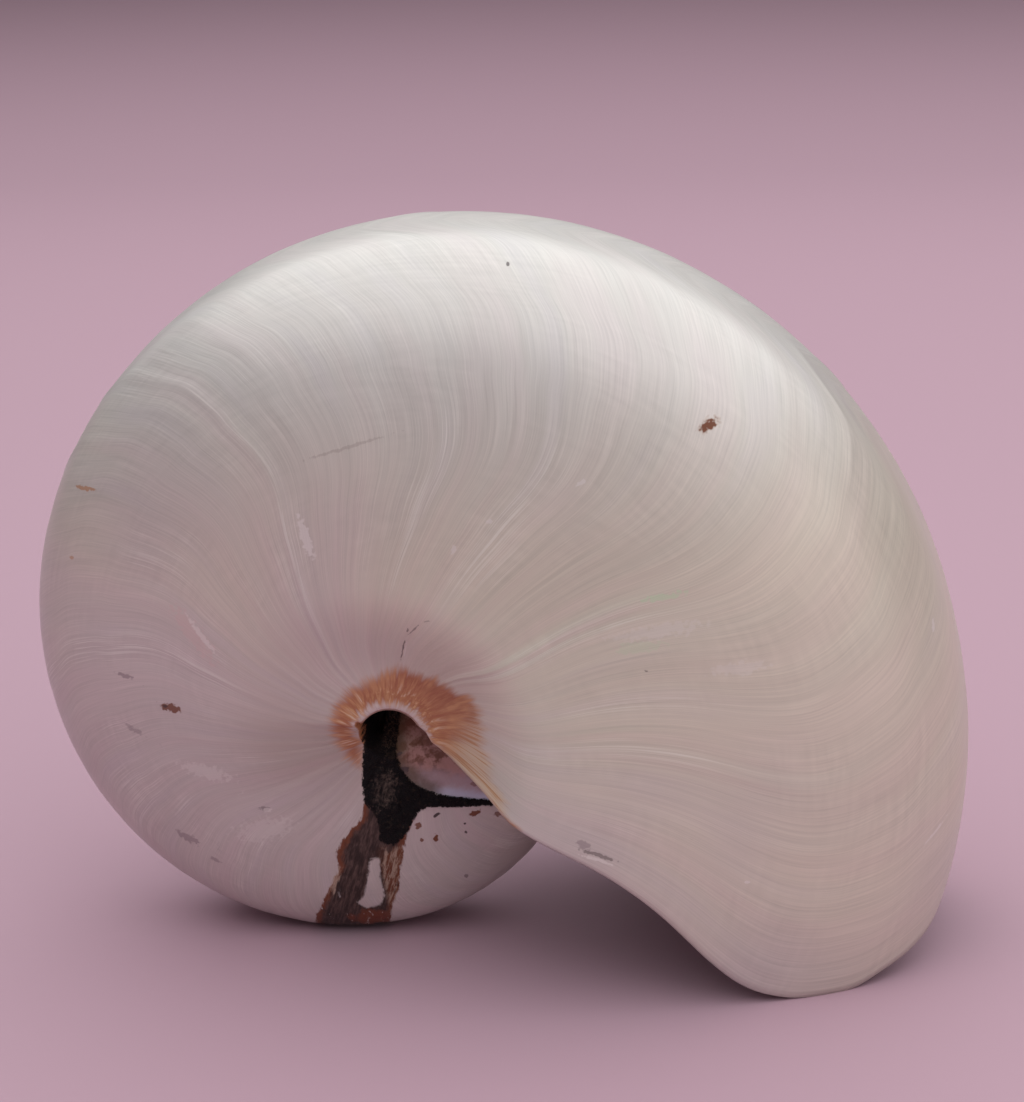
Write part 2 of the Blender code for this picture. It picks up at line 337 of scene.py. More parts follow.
def flank_height(r, angle, radius):
    """Distance of the outside from the middle plane, with the flank sunk near the umbilicus."""
    rim = r.use(whorl_radius, angle)
    level = r.use(whorl_radius, angle.math("MAXIMUM", math.radians(HUB_LEVEL_ANGLE)))
    width = r.use(section, r.use(section_turn, radius / rim))[1]
    sunk = r.fade(radius, DIMPLE_START, DIMPLE_END)
    return (rim * width - (rim - level) * sunk) * r.sizes["Half width ratio"]


def pit_edge(r, angle):
    """Distance from the axis to the edge of the pit, a circle set a little below the axis."""
    along = angle.math("COSINE") * PIT_X + angle.math("SINE") * PIT_Z
    return along + (along * along + (PIT_RADIUS ** 2 - PIT_X ** 2 - PIT_Z ** 2)).math("SQRT")


def point_at(r, angle, radius, height):
    """Point at an angle about the coiling axis."""
    x = radius * angle.math("COSINE") + AXIS_X
    z = radius * angle.math("SINE") + AXIS_Z
    return r.vector(x, height, z)


def outside(r, stage, spread, side):
    """Point of the outside on the growth line of that stage, and its place on the section."""
    left = (TURN - stage) / math.radians(SEAM_BLEND_ANGLE)
    seam = r.smooth(1.0 - left, 0.0, 1.0)
    angle = stage
    for _ in range(SOLVE_ROUNDS):
        edge = r.use(pit_edge, angle) * (1.0 - seam) + seam * CHAMBER_SEAM_RADIUS
        start = r.use(section_turn, edge / r.use(whorl_radius, angle))
        angle = stage + r.use(lip_offset, r.use(section, start)[2])
    reach, _, place = r.use(section, start * spread)
    angle = stage + r.use(lip_offset, place)
    radius = reach * r.use(whorl_radius, angle)
    height = r.use(flank_height, angle, radius)
    return r.use(point_at, angle, radius, height * side), place


def chamber_angle(r, place, depth):
    """Angle in the chamber: the lip's own at a depth of 0, the chamber's back at 1."""
    back = math.radians(CHAMBER_BACK_ANGLE)
    return r.use(lip_offset, place) * (1.0 - depth) + depth * back


def floor_point(r, depth, spread, side):
    """Point of the chamber's floor, which is the outside one turn earlier, and its place."""
    angle = r.use(chamber_angle, 0.0 * depth, depth) + TURN
    for _ in range(SOLVE_ROUNDS):
        start = r.use(section_turn, CHAMBER_SEAM_RADIUS / r.use(whorl_radius, angle))
        angle = r.use(chamber_angle, r.use(section, start)[2], depth) + TURN
    reach, _, place = r.use(section, start * spread)
    angle = r.use(chamber_angle, place, depth) + TURN
    radius = reach * r.use(whorl_radius, angle)
    height = r.use(flank_height, angle, radius)
    return r.use(point_at, angle, radius, height * side), place


def ceiling_height(r, angle, radius, width, wall):
    """Inside of the wall, a wall's thickness under the flank and rounded down to the floor."""
    half = r.use(whorl_radius, angle) * r.sizes["Half width ratio"]
    outer_width = r.use(section, r.use(section_turn, radius / r.use(whorl_radius, angle)))[1]
    sink = half * outer_width - r.use(flank_height, angle, radius)
    roof = (half - wall) * width - sink
    base = r.use(flank_height, angle + TURN, 0.0 * radius + CHAMBER_SEAM_RADIUS)
    rise = r.node("ShaderNodeClamp", None, {0: (radius - CHAMBER_SEAM_RADIUS) / CHAMBER_CORNER})
    round_up = (1.0 - (1.0 - rise) * (1.0 - rise)).math("MAXIMUM", 0.0).math("SQRT")
    return base + (roof - base) * round_up


def ceiling_point(r, depth, spread, side):
    """Point of the chamber's ceiling, whose two ends lie on the floor's ends, and its place."""
    wall = r.smooth(depth, 0.0, THICKENING_DEPTH) * (WALL_THICKNESS - LIP_THICKNESS) + LIP_THICKNESS
    angle = r.use(chamber_angle, 0.0 * depth, depth)
    for _ in range(SOLVE_ROUNDS):
        start = r.use(section_turn, CHAMBER_SEAM_RADIUS / (r.use(whorl_radius, angle) - wall))
        angle = r.use(chamber_angle, r.use(section, start)[2], depth)
    reach, width, place = r.use(section, start * spread)
    angle = r.use(chamber_angle, place, depth)
    radius = reach * (r.use(whorl_radius, angle) - wall)
    height = r.use(ceiling_height, angle, radius, width, wall)
    inner = r.use(point_at, angle, radius, height * side)
    end = r.use(floor_point, depth, spread, side)[0]
    return r.mix_vector(spread.math("GREATER_THAN", SEAM_SPREAD), inner, end), place


def about_axis(r, x, z):
    """Angle and distance about the coiling axis."""
    across = x - AXIS_X
    up = z - AXIS_Z
    return up.math("ARCTAN2", across), hypotenuse(across, up)


def partition_point(r, amount, spread, side):
    """Point of the chamber's back, bulged like a watch glass between ceiling and floor."""
    deepest = 0.0 * amount + 1.0
    top = r.use(ceiling_point, deepest, spread, side)[0]
    bottom = r.use(floor_point, deepest, spread, side)[0]
    x, y, z = r.split(r.mix_vector(amount, top, bottom))
    angle, radius = r.use(about_axis, x, z)
    back = 0.0 * amount + math.radians(CHAMBER_BACK_ANGLE)
    rim = r.use(whorl_radius, back)
    hub = r.use(whorl_radius, back + TURN)
    upward = (radius - hub) * 2.0 / (rim - hub) - 1.0
    width = r.use(section, r.use(section_turn, radius / rim))[1]
    sideways = abs(y) / (rim * r.sizes["Half width ratio"] * width).math("MAXIMUM", WELD_DISTANCE)
    share = (1.0 - upward * upward).math("MAXIMUM", 0.0) * (1.0 - sideways * sideways).math("MAXIMUM", 0.0)
    inner = amount.math("GREATER_THAN", PARTITION_EDGE) * amount.math("LESS_THAN", 1.0 - PARTITION_EDGE)
    return r.use(point_at, angle + share * inner * math.radians(PARTITION_DEPTH), radius, y), amount


def lip_point(r, amount, spread, side):
    """Point of the lip's rounded edge, from the outside (0) to the ceiling (1), and its place."""
    zero = 0.0 * amount
    outer, place = r.use(outside, zero, spread, side)
    inner = r.use(ceiling_point, zero, spread, side)[0]
    apart = r.node("ShaderNodeVectorMath", {"operation": "DISTANCE"}, {0: outer, 1: inner}, "Value")
    swell = apart.math("MINIMUM", LIP_THICKNESS) * LIP_ROUNDING * (amount * math.pi).math("SINE")
    x, y, z = r.split(r.mix_vector(amount, outer, inner))
    angle, radius = r.use(about_axis, x, z)
    return r.use(point_at, angle - swell / radius, radius, y), place


def pit_point(r, x, y, z, amount, side):
    """Point of the pit in the umbilicus, from its edge (0) to the bottom (1).

    It falls steeply under the arch of the young whorl, and on the old whorl's side it slopes in.
    """
    shrink = 1.0 - amount ** PIT_NARROWING
    middle_x = AXIS_X + PIT_MIDDLE_X
    middle_z = AXIS_Z + PIT_MIDDLE_Z
    across = x - middle_x
    up = z - middle_z
    toward = across * math.cos(SHELF_DIRECTION) + up * math.sin(SHELF_DIRECTION)
    shelf = r.smooth(toward / hypotenuse(across, up), 0.0, SHELF_SOFTNESS)
    steepness = shelf * (SHELF_STEEPNESS - PIT_STEEPNESS) + PIT_STEEPNESS
    bottom = side * PIT_FLOOR
    return r.vector(
        across * shrink + middle_x,
        (y - bottom) * shrink ** steepness + bottom,
        up * shrink + middle_z,
    )


# Growth relief: steps and ridges that follow growth lines, as angle from the lip, lowest and
# highest place on the section, height in millimetres and width in degrees
GROWTH_STEPS = (
    (149.0, 0.10, 0.95, 0.17, 0.9),
    (161.3, 0.55, 1.00, 0.16, 1.0),
    (106.5, 0.70, 1.05, 0.16, 1.0),
    (53.5, 0.70, 1.05, 0.18, 1.0),
    (62.2, 0.08, 0.34, 0.28, 0.9),
    (58.8, 0.08, 0.30, 0.12, 0.9),
    (28.6, 0.18, 0.52, 0.12, 0.9),
    (34.0, 0.17, 0.27, 0.12, 0.8),
    (30.6, 0.17, 0.25, 0.10, 0.8),
    (116.0, 0.25, 0.75, 0.05, 0.8),
    (199.0, 0.20, 0.75, 0.07, 1.0),
)
STEP_SHARE = 1.0
WAVE_HEIGHT = 0.00012
WAVES_PER_DEGREE = 0.16
WAVES_ALONG_LINE = 1.6
SEAM_STAGES = (350.0, 358.0)

# The old growth lines bend less near the umbilicus than the lip does: stages, places and degrees
OLD_LINE_STAGES = (40.0, 110.0)
OLD_LINE_RISE = (0.10, 0.26)
OLD_LINE_FALL = (0.30, 0.48)
OLD_LINE_SHIFT = 6.0

# Rounded rim over the pit: where it rises and falls beside the pit's edge, how its lower end lies
RIM_CALLUS_RISE = (-0.0002, 0.000735)
RIM_CALLUS_FALL = (0.00105, 0.00336)
RIM_CALLUS_SLANT = 0.35
RIM_CALLUS_LEVELS = (-0.0035, 0.0010)
RIM_CALLUS_HEIGHT = 0.00045

# Marks round the umbilicus, as outlines in millimetres from the coiling axis
TAR_OUTLINE = (
    (-3.4, 3.0), (-4.6, 0.0), (-4.3, -4.8), (-4.7, -8.4), (-4.9, -11.5), (-4.8, -15.3),
    (-3.4, -17.2), (-2.6, -19.5), (-2.7, -22.6), (-0.4, -23.4), (1.5, -21.6), (2.9, -18.8),
    (3.6, -17.6), (5.2, -17.0), (9.0, -17.4), (15.5, -17.6), (24.0, -17.7), (24.0, -16.7),
    (15.5, -16.5), (11.6, -16.0), (7.0, -15.0), (4.4, -13.8), (2.6, -12.3), (1.0, -10.0),
    (0.4, -7.0), (0.6, -4.2), (1.0, -1.0), (0.8, 3.0),
)
STRIPE_OUTLINE = (
    (-4.8, -14.5), (-5.3, -18.0), (-8.3, -21.5), (-9.9, -25.1), (-9.4, -27.2), (-11.3, -31.0),
    (-13.9, -37.1), (-15.5, -43.0), (-3.0, -43.0), (-1.3, -35.4), (-0.1, -31.8), (0.8, -25.6),
    (1.6, -21.4), (3.0, -18.6), (3.0, -14.5),
)
GAP_OUTLINE = (
    (-4.4, -25.6), (-5.0, -29.5), (-5.9, -33.0), (-7.2, -34.6), (-5.6, -36.0), (-3.4, -35.2),
    (-2.6, -33.4), (-2.9, -29.5), (-3.0, -25.8),
)
PATCH_OUTLINE = (
    (1.0, 3.0), (-0.2, -7.0), (0.0, -10.2), (1.8, -12.4), (3.7, -14.0), (7.0, -15.2),
    (11.6, -16.6), (15.5, -17.1), (24.0, -17.2), (30.0, -8.0), (12.0, 4.0),
)
RUST_OUTLINE = (
    (-4.9, -9.4), (-7.4, -7.0), (-9.0, -2.3), (-9.2, 0.3), (-8.3, 3.2), (-6.3, 5.7), (-3.1, 7.4),
    (0.1, 8.9), (2.8, 10.4), (5.6, 9.5), (9.6, 8.5), (13.7, 7.1), (15.8, 5.2), (16.2, 2.4),
    (16.0, -1.0), (17.4, -4.6), (19.6, -8.2), (21.4, -11.6), (16.0, -10.0), (9.0, -4.0),
    (4.0, -2.0), (0.0, -1.5), (-3.5, -2.5), (-4.2, -6.0),
)

# Small marks on the near side: x and z in millimetres from the axis, half length and half width,
# tilt in degrees, name of the colour and strength
SMALL_MARKS = (
    (49.4, 48.5, 2.1, 1.2, 25.0, "halo", 0.45),
    (49.4, 48.5, 1.5, 0.85, 25.0, "brown", 1.00),
    (-34.3, 1.6, 1.9, 0.85, -8.0, "brown", 0.90),
    (-35.0, 1.8, 0.5, 0.3, 0.0, "dark", 0.80),
    (19.4, 71.0, 0.35, 0.35, 0.0, "dark", 0.80),
    (-47.0, 35.7, 2.2, 0.45, 4.0, "rust", 0.70),
    (3.3, 13.6, 2.6, 0.16, 76.0, "dark", 0.70),
    (5.3, 17.6, 2.1, 0.14, 48.0, "dark", 0.50),
    (8.0, 19.6, 1.6, 0.12, 20.0, "dark", 0.35),
    (3.65, 13.5, 2.4, 0.13, 76.0, "pale", 0.45),
    (-29.5, 14.6, 6.2, 1.7, -56.0, "rosy", 0.50),
    (-28.2, 14.4, 4.6, 0.5, -56.0, "pale", 0.60),
    (-29.3, -9.6, 4.8, 1.5, -14.0, "pale", 0.36),
    (-21.0, -20.0, 5.4, 2.4, 14.0, "pale", 0.32),
    (-20.5, -16.1, 1.1, 0.6, 10.0, "dark", 0.45),
    (-20.1, -16.3, 1.0, 0.5, 10.0, "pale", 0.60),
    (-10.8, 31.2, 3.8, 0.9, -73.0, "pale", 0.75),
    (30.8, 40.8, 0.9, 0.4, 30.0, "pale", 0.70),
    (17.2, 35.0, 0.7, 0.4, 10.0, "pale", 0.65),
    (11.9, 30.7, 0.8, 0.5, 60.0, "pale", 0.60),
    (42.4, 18.9, 7.4, 1.3, 9.0, "pale", 0.32),
    (54.3, 13.0, 5.0, 1.1, 4.0, "pale", 0.30),
    (43.0, 24.0, 3.6, 0.7, 9.0, "green", 0.50),
    (39.5, 16.5, 4.0, 1.0, 5.0, "green", 0.22),
    (-4.5, 45.2, 7.4, 0.30, 18.0, "scratch", 0.24),
    (33.2, -15.4, 3.1, 0.36, -20.0, "dark", 0.55),
    (31.0, -13.6, 1.6, 0.7, -38.0, "smudge", 0.45),
    (33.0, -16.1, 2.8, 0.30, -20.0, "pale", 0.60),
    (84.6, -17.2, 2.8, 0.22, 44.0, "pale", 0.60),
    (83.6, 15.4, 0.25, 1.2, 0.0, "pale", 0.70),
    (40.5, 13.0, 0.4, 0.3, 0.0, "dark", 0.60),
    (47.1, -13.4, 0.4, 0.3, 0.0, "dark", 0.50),
    (55.7, -20.8, 0.5, 0.3, 0.0, "pale", 0.70),
    (-49.5, 24.7, 0.5, 0.35, 0.0, "rust", 0.55),
    (-41.5, 6.5, 1.8, 0.5, -12.0, "smudge", 0.55),
    (-40.5, -3.0, 2.0, 0.5, -24.0, "smudge", 0.40),
    (-33.5, -22.5, 2.4, 1.0, -30.0, "smudge", 0.50),
    (-29.5, -26.5, 1.2, 0.5, -30.0, "smudge", 0.45),
    (3.2, -6.1, 0.9, 0.7, 20.0, "brown", 0.70),
    (3.9, -8.4, 0.7, 0.4, -30.0, "brown", 0.55),
    (1.4, -10.3, 1.1, 0.7, -10.0, "dark", 0.90),
    (0.9, -7.6, 0.5, 0.4, 0.0, "dark", 0.80),
    (6.8, -4.9, 1.4, 0.5, -35.0, "brown", 0.45),
    (10.2, -9.8, 1.2, 0.3, 10.0, "brown", 0.50),
    (12.4, -13.6, 0.6, 0.5, 0.0, "brown", 0.60),
    (12.4, -18.6, 1.1, 0.5, 20.0, "brown", 1.00),
    (16.3, -19.3, 1.3, 0.5, -10.0, "brown", 0.80),
    (6.1, -22.6, 0.4, 0.8, 0.0, "brown", 1.00),
    (3.4, -20.2, 0.6, 0.5, 40.0, "brown", 0.90),
    (6.4, -18.5, 0.7, 0.3, 30.0, "dark", 1.00),
    (3.9, -22.8, 0.35, 0.4, 0.0, "brown", 0.90),
    (10.7, -20.4, 0.3, 0.35, 0.0, "dark", 1.00),
    (10.8, -21.9, 0.25, 0.3, 0.0, "dark", 0.90),
    (10.6, -30.4, 0.4, 0.4, 0.0, "dark", 0.55),
)
MARK_LAYERS = 3
MARK_CLEARANCE = 2.5
MARK_COLOURS = {
    "brown": (0.170, 0.048, 0.016),
    "dark": (0.060, 0.036, 0.036),
    "halo": (0.460, 0.340, 0.260),
    "rust": (0.480, 0.210, 0.080),
    "pale": (0.760, 0.710, 0.680),
    "rosy": (0.640, 0.480, 0.460),
    "green": (0.520, 0.690, 0.460),
    "scratch": (0.240, 0.170, 0.150),
    "smudge": (0.200, 0.140, 0.165),
}

# Bunches of crisp pale growth lines, partly painted highlight along the growth ridges: angle, half width in
# degrees, lowest and highest place
BUNCHES = (
    (200.0, 4.5, 0.22, 0.80),
    (60.5, 3.5, 0.09, 0.36),
    (30.5, 3.5, 0.10, 0.34),
    (149.5, 1.4, 0.10, 0.95),
    (116.0, 5.0, 0.14, 0.42),
    (96.0, 5.0, 0.14, 0.40),
    (41.0, 2.4, 0.16, 0.34),
)

# Rough thickness of the tarry crust and of the stripe: noise per millimetre, its dimension,
# lacunarity and octaves, then gain, base, least height and share
CRUST_LAYERS = (
    (0.9, (0.7, 2.1, 4), 1.0, 0.55, 0.05, 1.0),
    (1.7, (0.8, 2.0, 3), 0.5, 0.3, 0.0, 0.25),
)
CRUST_STAGES = (222.0, 356.0)
CRUST_EDGE = 0.5
CRUST_HEIGHT = 0.00035


class ShellTree(Rules):
    """The Geometry Nodes tree that grows the shell as one closed skin."""

    INPUTS = (
        ("Rim radius", "NodeSocketFloat", RADIUS_AT_ZERO),
        ("Growth per turn", "NodeSocketFloat", GROWTH_PER_TURN),
        ("Half width ratio", "NodeSocketFloat", HALF_WIDTH_RATIO),
        ("Step height", "NodeSocketFloat", STEP_SHARE),
        ("Wave height", "NodeSocketFloat", WAVE_HEIGHT),
        ("Material", "NodeSocketMaterial", None),
    )

    def __init__(self):
        super().__init__(bpy.data.node_groups.new("Shell growth", "GeometryNodeTree"), {})
        interface = self.tree.interface
        for name, kind, default in self.INPUTS:
            made = interface.new_socket(name, in_out="INPUT", socket_type=kind)
            if default is not None:
                made.default_value = default
        interface.new_socket("Geometry", in_out="OUTPUT", socket_type="NodeSocketGeometry")
        entry = self.node("NodeGroupInput")
        self.sizes = {name: entry.other(name) for name, _, _ in self.INPUTS}
        self.sheets = []
        self.add_band()
        self.add_pits()
        self.finish()

    def grid(self, rows, columns, make_point, zone):
        """One sheet of the skin; make_point gives point, stage and place for row and column.

        The zone is 0 on the outside, 1 in the body chamber and -1 in the pits.
        """
        sheet = self.node("GeometryNodeMeshGrid", None, {2: rows, 3: columns})
        index = self.node("GeometryNodeInputIndex")
        row = ((index + 0.5) / columns).math("FLOOR")
        column = index - row * columns
        point, stage, place = make_point(row / (rows - 1), column / (columns - 1))
        moved = self.node("GeometryNodeSetPosition", None, {0: sheet, 2: point})
        marks = self.vector(stage * (360.0 / TURN), place, zone)
        kept = self.node(
            "GeometryNodeStoreNamedAttribute",
            {"data_type": "FLOAT_VECTOR", "domain": "POINT"},
            {"Geometry": moved, "Name": "growth", "Value": marks},
        )
        self.sheets.append(kept)

    def add_band(self):
        """The skin from the lip back round the outside, and from the lip into the chamber."""
        columns = 2 * COLUMNS_PER_SIDE + 1

        def sheet(rows, rule, amount_of, stage_of, zone):
            def make_point(along, across):
                signed = across * 2.0 - 1.0
                from_rim = abs(signed) ** RIM_CROWDING
                spread = 1.0 - (1.0 - from_rim) ** HUB_CROWDING
                amount = amount_of(along)
                point, place = self.use(rule, amount, spread, signed.math("SIGN"))
                return point, stage_of(amount), place

            self.grid(rows + 1, columns, make_point, zone)

        sheet(ROWS_PER_TURN, outside, lambda along: (1.0 - along) * TURN, lambda stage: stage, 0.0)
        sheet(LIP_ROWS, lip_point, lambda along: along, lambda amount: amount * 0.0, 0.0)
        sheet(CHAMBER_ROWS, ceiling_point, lambda along: along, lambda depth: depth * 2.0, 1.0)
        sheet(PARTITION_ROWS, partition_point, lambda along: along, lambda amount: amount + 2.0, 1.0)
        sheet(CHAMBER_ROWS, floor_point, lambda along: 1.0 - along, lambda depth: depth * 2.0 + TURN, 1.0)

    def add_pits(self):
        """The pit on each side, one sheet inside the outside's edge and one inside the lip's."""
        for side in (-1.0, 1.0):

            def sheet(columns, rule, amount_of, stage_of, side=side):
                def make_point(inward, around):
                    share = around if side < 0.0 else 1.0 - around
                    amount = amount_of(share)
                    edge, place = self.use(rule, amount, 0.0 * inward + 1.0, 0.0 * inward + side)
                    point = self.use(pit_point, *self.split(edge), inward, 0.0 * inward + side)
                    return point, stage_of(amount), place

                self.grid(PIT_ROWS + 1, columns + 1, make_point, -1.0)

            sheet(ROWS_PER_TURN, outside, lambda share: (1.0 - share) * TURN, lambda stage: stage)
            sheet(LIP_ROWS, lip_point, lambda share: share, lambda amount: amount * 0.0)

    def growth_steps(self, line, place):
        """The steps and ridges along the growth lines."""
        total = 0.0
        for angle, low, high, height, width in GROWTH_STEPS:
            across = self.between(line, (angle - 0.5 * width, angle), (angle, angle + 3.0 * width))
            along = self.between(place, (low - 0.05, low + 0.05), (high - 0.08, high + 0.08))
            total = across * along * (height / MILLIMETRES) + total
        return total * self.sizes["Step height"]

    def growth_waves(self, line, place):
        """Gentle waves between the steps."""
        values = {
            "Vector": self.vector(line * WAVES_PER_DEGREE, place * WAVES_ALONG_LINE, 0.0),
            "Scale": 1.0, "Detail": 3.0, "Roughness": 0.6,
        }
        return (self.node("ShaderNodeTexNoise", None, values) - 0.5) * self.sizes["Wave height"] * 2.0

    def callus(self):
        """The rounded rim over the top of the pit."""
        x, _, z = self.split(self.node("GeometryNodeInputPosition"))
        across = x - (AXIS_X + PIT_X)
        up = z - (AXIS_Z + PIT_Z)
        outward = hypotenuse(across, up) - PIT_RADIUS
        ridge = self.between(outward, RIM_CALLUS_RISE, RIM_CALLUS_FALL)
        over = self.smooth(up + across * RIM_CALLUS_SLANT, *RIM_CALLUS_LEVELS)
        return ridge * over * RIM_CALLUS_HEIGHT

    def relief(self):
        """Height of the relief over the smooth skin, on the outside alone."""
        stage, place, zone = self.split(self.node(
            "GeometryNodeInputNamedAttribute", {"data_type": "FLOAT_VECTOR"}, {"Name": "growth"}
        ))
        line = stage + old_line_shift(self, stage, place)
        lines = self.growth_steps(line, place) + self.growth_waves(line, place)
        on_outside = self.fade(abs(zone), 0.2, 0.6)
        before_seam = self.fade(stage, *SEAM_STAGES)
        return (lines * before_seam + self.callus()) * on_outside

    def finish(self):
        """Welds the sheets, raises the relief and stands the shell on the floor."""
        joined = self.tree.nodes.new("GeometryNodeJoinGeometry")
        for sheet in self.sheets:
            self.tree.links.new(sheet.socket, joined.inputs[0])
        skin = Term(self, joined.outputs[0])
        welded = self.node("GeometryNodeMergeByDistance", None, {"Geometry": skin, "Distance": WELD_DISTANCE})
        normal = self.node("GeometryNodeInputNormal")
        offset = self.node(
            "ShaderNodeVectorMath", {"operation": "SCALE"}, {0: normal, "Scale": self.relief()}
        )
        raised = self.node("GeometryNodeSetPosition", None, {0: welded, 3: offset})
        x, y, z = self.split(self.node("GeometryNodeInputPosition"))
        grounded = self.vector(x, y, z.math("MAXIMUM", 0.0))
        standing = self.node("GeometryNodeSetPosition", None, {0: raised, 2: grounded})
        whole = self.node("GeometryNodeRealizeInstances", None, {0: standing})
        finished = self.node(
            "GeometryNodeSetMaterial", None, {"Geometry": whole, "Material": self.sizes["Material"]}
        )
        end = self.tree.nodes.new("NodeGroupOutput")
        self.tree.links.new(finished.socket, end.inputs[0])


def old_line_shift(nodes, stage, place):
    """Degrees by which the old growth lines bend less near the umbilicus than the lip does."""
    old = nodes.smooth(stage, *OLD_LINE_STAGES)
    bent = nodes.between(place, OLD_LINE_RISE, OLD_LINE_FALL)
    return old * bent * OLD_LINE_SHIFT


def grown_mesh(name, tree, values):
    """Plain mesh of what a Geometry Nodes tree makes with these values for its named inputs."""
    carrier = bpy.data.objects.new(name, bpy.data.meshes.new(name))
    bpy.context.scene.collection.objects.link(carrier)
    modifier = carrier.modifiers.new(name, "NODES")
    modifier.node_group = tree
    for item in tree.interface.items_tree:
        if item.in_out == "INPUT" and item.name in values:
            modifier[item.identifier] = values[item.name]
    graph = bpy.context.evaluated_depsgraph_get()
    mesh = bpy.data.meshes.new_from_object(carrier.evaluated_get(graph), depsgraph=graph)
    bpy.data.objects.remove(carrier)
    mesh.name = name
    mesh.polygons.foreach_set("use_smooth", [True] * len(mesh.polygons))
    return mesh


def outline_distance(x, z, outline):
    """Distance in the plane from points to a closed outline, positive inside it."""
    nearest = np.full(len(x), np.inf)
    inside = np.zeros(len(x), bool)
    for (ax, az), (bx, bz) in zip(outline, outline[1:] + outline[:1]):
        along_x = bx - ax
        along_z = bz - az
        share = ((x - ax) * along_x + (z - az) * along_z) / (along_x ** 2 + along_z ** 2)
        share = np.clip(share, 0.0, 1.0)
        apart = np.hypot(x - ax - share * along_x, z - az - share * along_z)
        nearest = np.minimum(nearest, apart)
        crosses = (az > z) != (bz > z)
        rise = along_z if along_z else 1e-9
        inside ^= crosses & (x < ax + along_x * (z - az) / rise)
    return np.where(inside, nearest, -nearest)


def vectors(items, name):
    """A vector property of the mesh's items, one row for each."""
    values = np.empty(len(items) * 3)
    items.foreach_get(name, values)
    return values.reshape(-1, 3)


def store(mesh, name, columns):
    """Keeps three or four columns of values, a row for each vertex, as an attribute."""
    kind, field = {3: ("FLOAT_VECTOR", "vector"), 4: ("FLOAT_COLOR", "color")}[len(columns)]
    attribute = mesh.attributes.new(name, kind, "POINT")
    attribute.data.foreach_set(field, np.stack(columns, axis=1).ravel())


def store_marks(mesh):
    """Distances to the marks' outlines, in millimetres, for the material to read."""
    places = vectors(mesh.vertices, "co")
    x = (places[:, 0] - AXIS_X) * MILLIMETRES
    z = (places[:, 2] - AXIS_Z) * MILLIMETRES
    tar, stripe, patch, gap, rust = (
        outline_distance(x, z, outline)
        for outline in (TAR_OUTLINE, STRIPE_OUTLINE, PATCH_OUTLINE, GAP_OUTLINE, RUST_OUTLINE)
    )
    store(mesh, "umbilicus", (tar, stripe, patch))
    store(mesh, "stains", (gap, rust, rust))
    store_small_marks(mesh, x, z)


def mark_clearance(x, z, mark):
    """Millimetres from points to the end circle of a small mark."""
    return np.hypot(x - mark[0], z - mark[1]) - mark[2]


def layered_marks():
    """The small marks, shared out so that those in one layer stand clear of each other."""
    layers = [[] for _ in range(MARK_LAYERS)]
    for mark in SMALL_MARKS:
        for layer in layers:
            if all(mark_clearance(mark[0], mark[1], other) > MARK_CLEARANCE + mark[2] for other in layer):
                layer.append(mark)
                break
        else:
            raise RuntimeError("more layers are needed for the small marks")
    return layers


def store_small_marks(mesh, x, z):
    """For each layer, place within the nearest mark and that mark's colour and strength."""
    for number, layer in enumerate(layered_marks()):
        nearest = np.argmin([mark_clearance(x, z, mark) for mark in layer], axis=0)
        centre_x, centre_z, length, width, tilt = np.array([mark[:5] for mark in layer])[nearest].T
        tilt = np.radians(tilt)
        along = ((x - centre_x) * np.cos(tilt) + (z - centre_z) * np.sin(tilt)) / length
        beside = ((z - centre_z) * np.cos(tilt) - (x - centre_x) * np.sin(tilt)) / width
        tints = np.array([(*MARK_COLOURS[mark[5]], mark[6]) for mark in layer])[nearest]
        store(mesh, f"mark_{number}", (along, beside, 1.0 - np.hypot(along, beside)))
        store(mesh, f"mark_tint_{number}", tints.T)


def raise_crust(mesh):
    """Gives the tarry crust and the stripe below it their rough thickness."""
    places = vectors(mesh.vertices, "co")
    normals = vectors(mesh.vertex_normals, "vector")
    stage, _, zone = vectors(mesh.attributes["growth"].data, "vector").T
    edges = vectors(mesh.attributes["umbilicus"].data, "vector").T[:len(CRUST_LAYERS)]
    old = (np.abs(zone) < 0.5) & (stage > CRUST_STAGES[0]) & (stage < CRUST_STAGES[1])
    for index in np.flatnonzero(old & (edges > 0.0).any(axis=0)):
        point = Vector(places[index]) * MILLIMETRES
        rise = 0.0
        for edge, (scale, rules, gain, base, least, share) in zip(edges, CRUST_LAYERS):
            lumps = noise.fractal(point * scale, *rules) * gain + base
            rise += min(max(edge[index], 0.0) / CRUST_EDGE, 1.0) * max(lumps, least) * share
        places[index] += normals[index] * rise * CRUST_HEIGHT
    places[:, 2] = np.maximum(places[:, 2], 0.0)
    mesh.vertices.foreach_set("co", places.ravel())
    mesh.update()


# Finishes

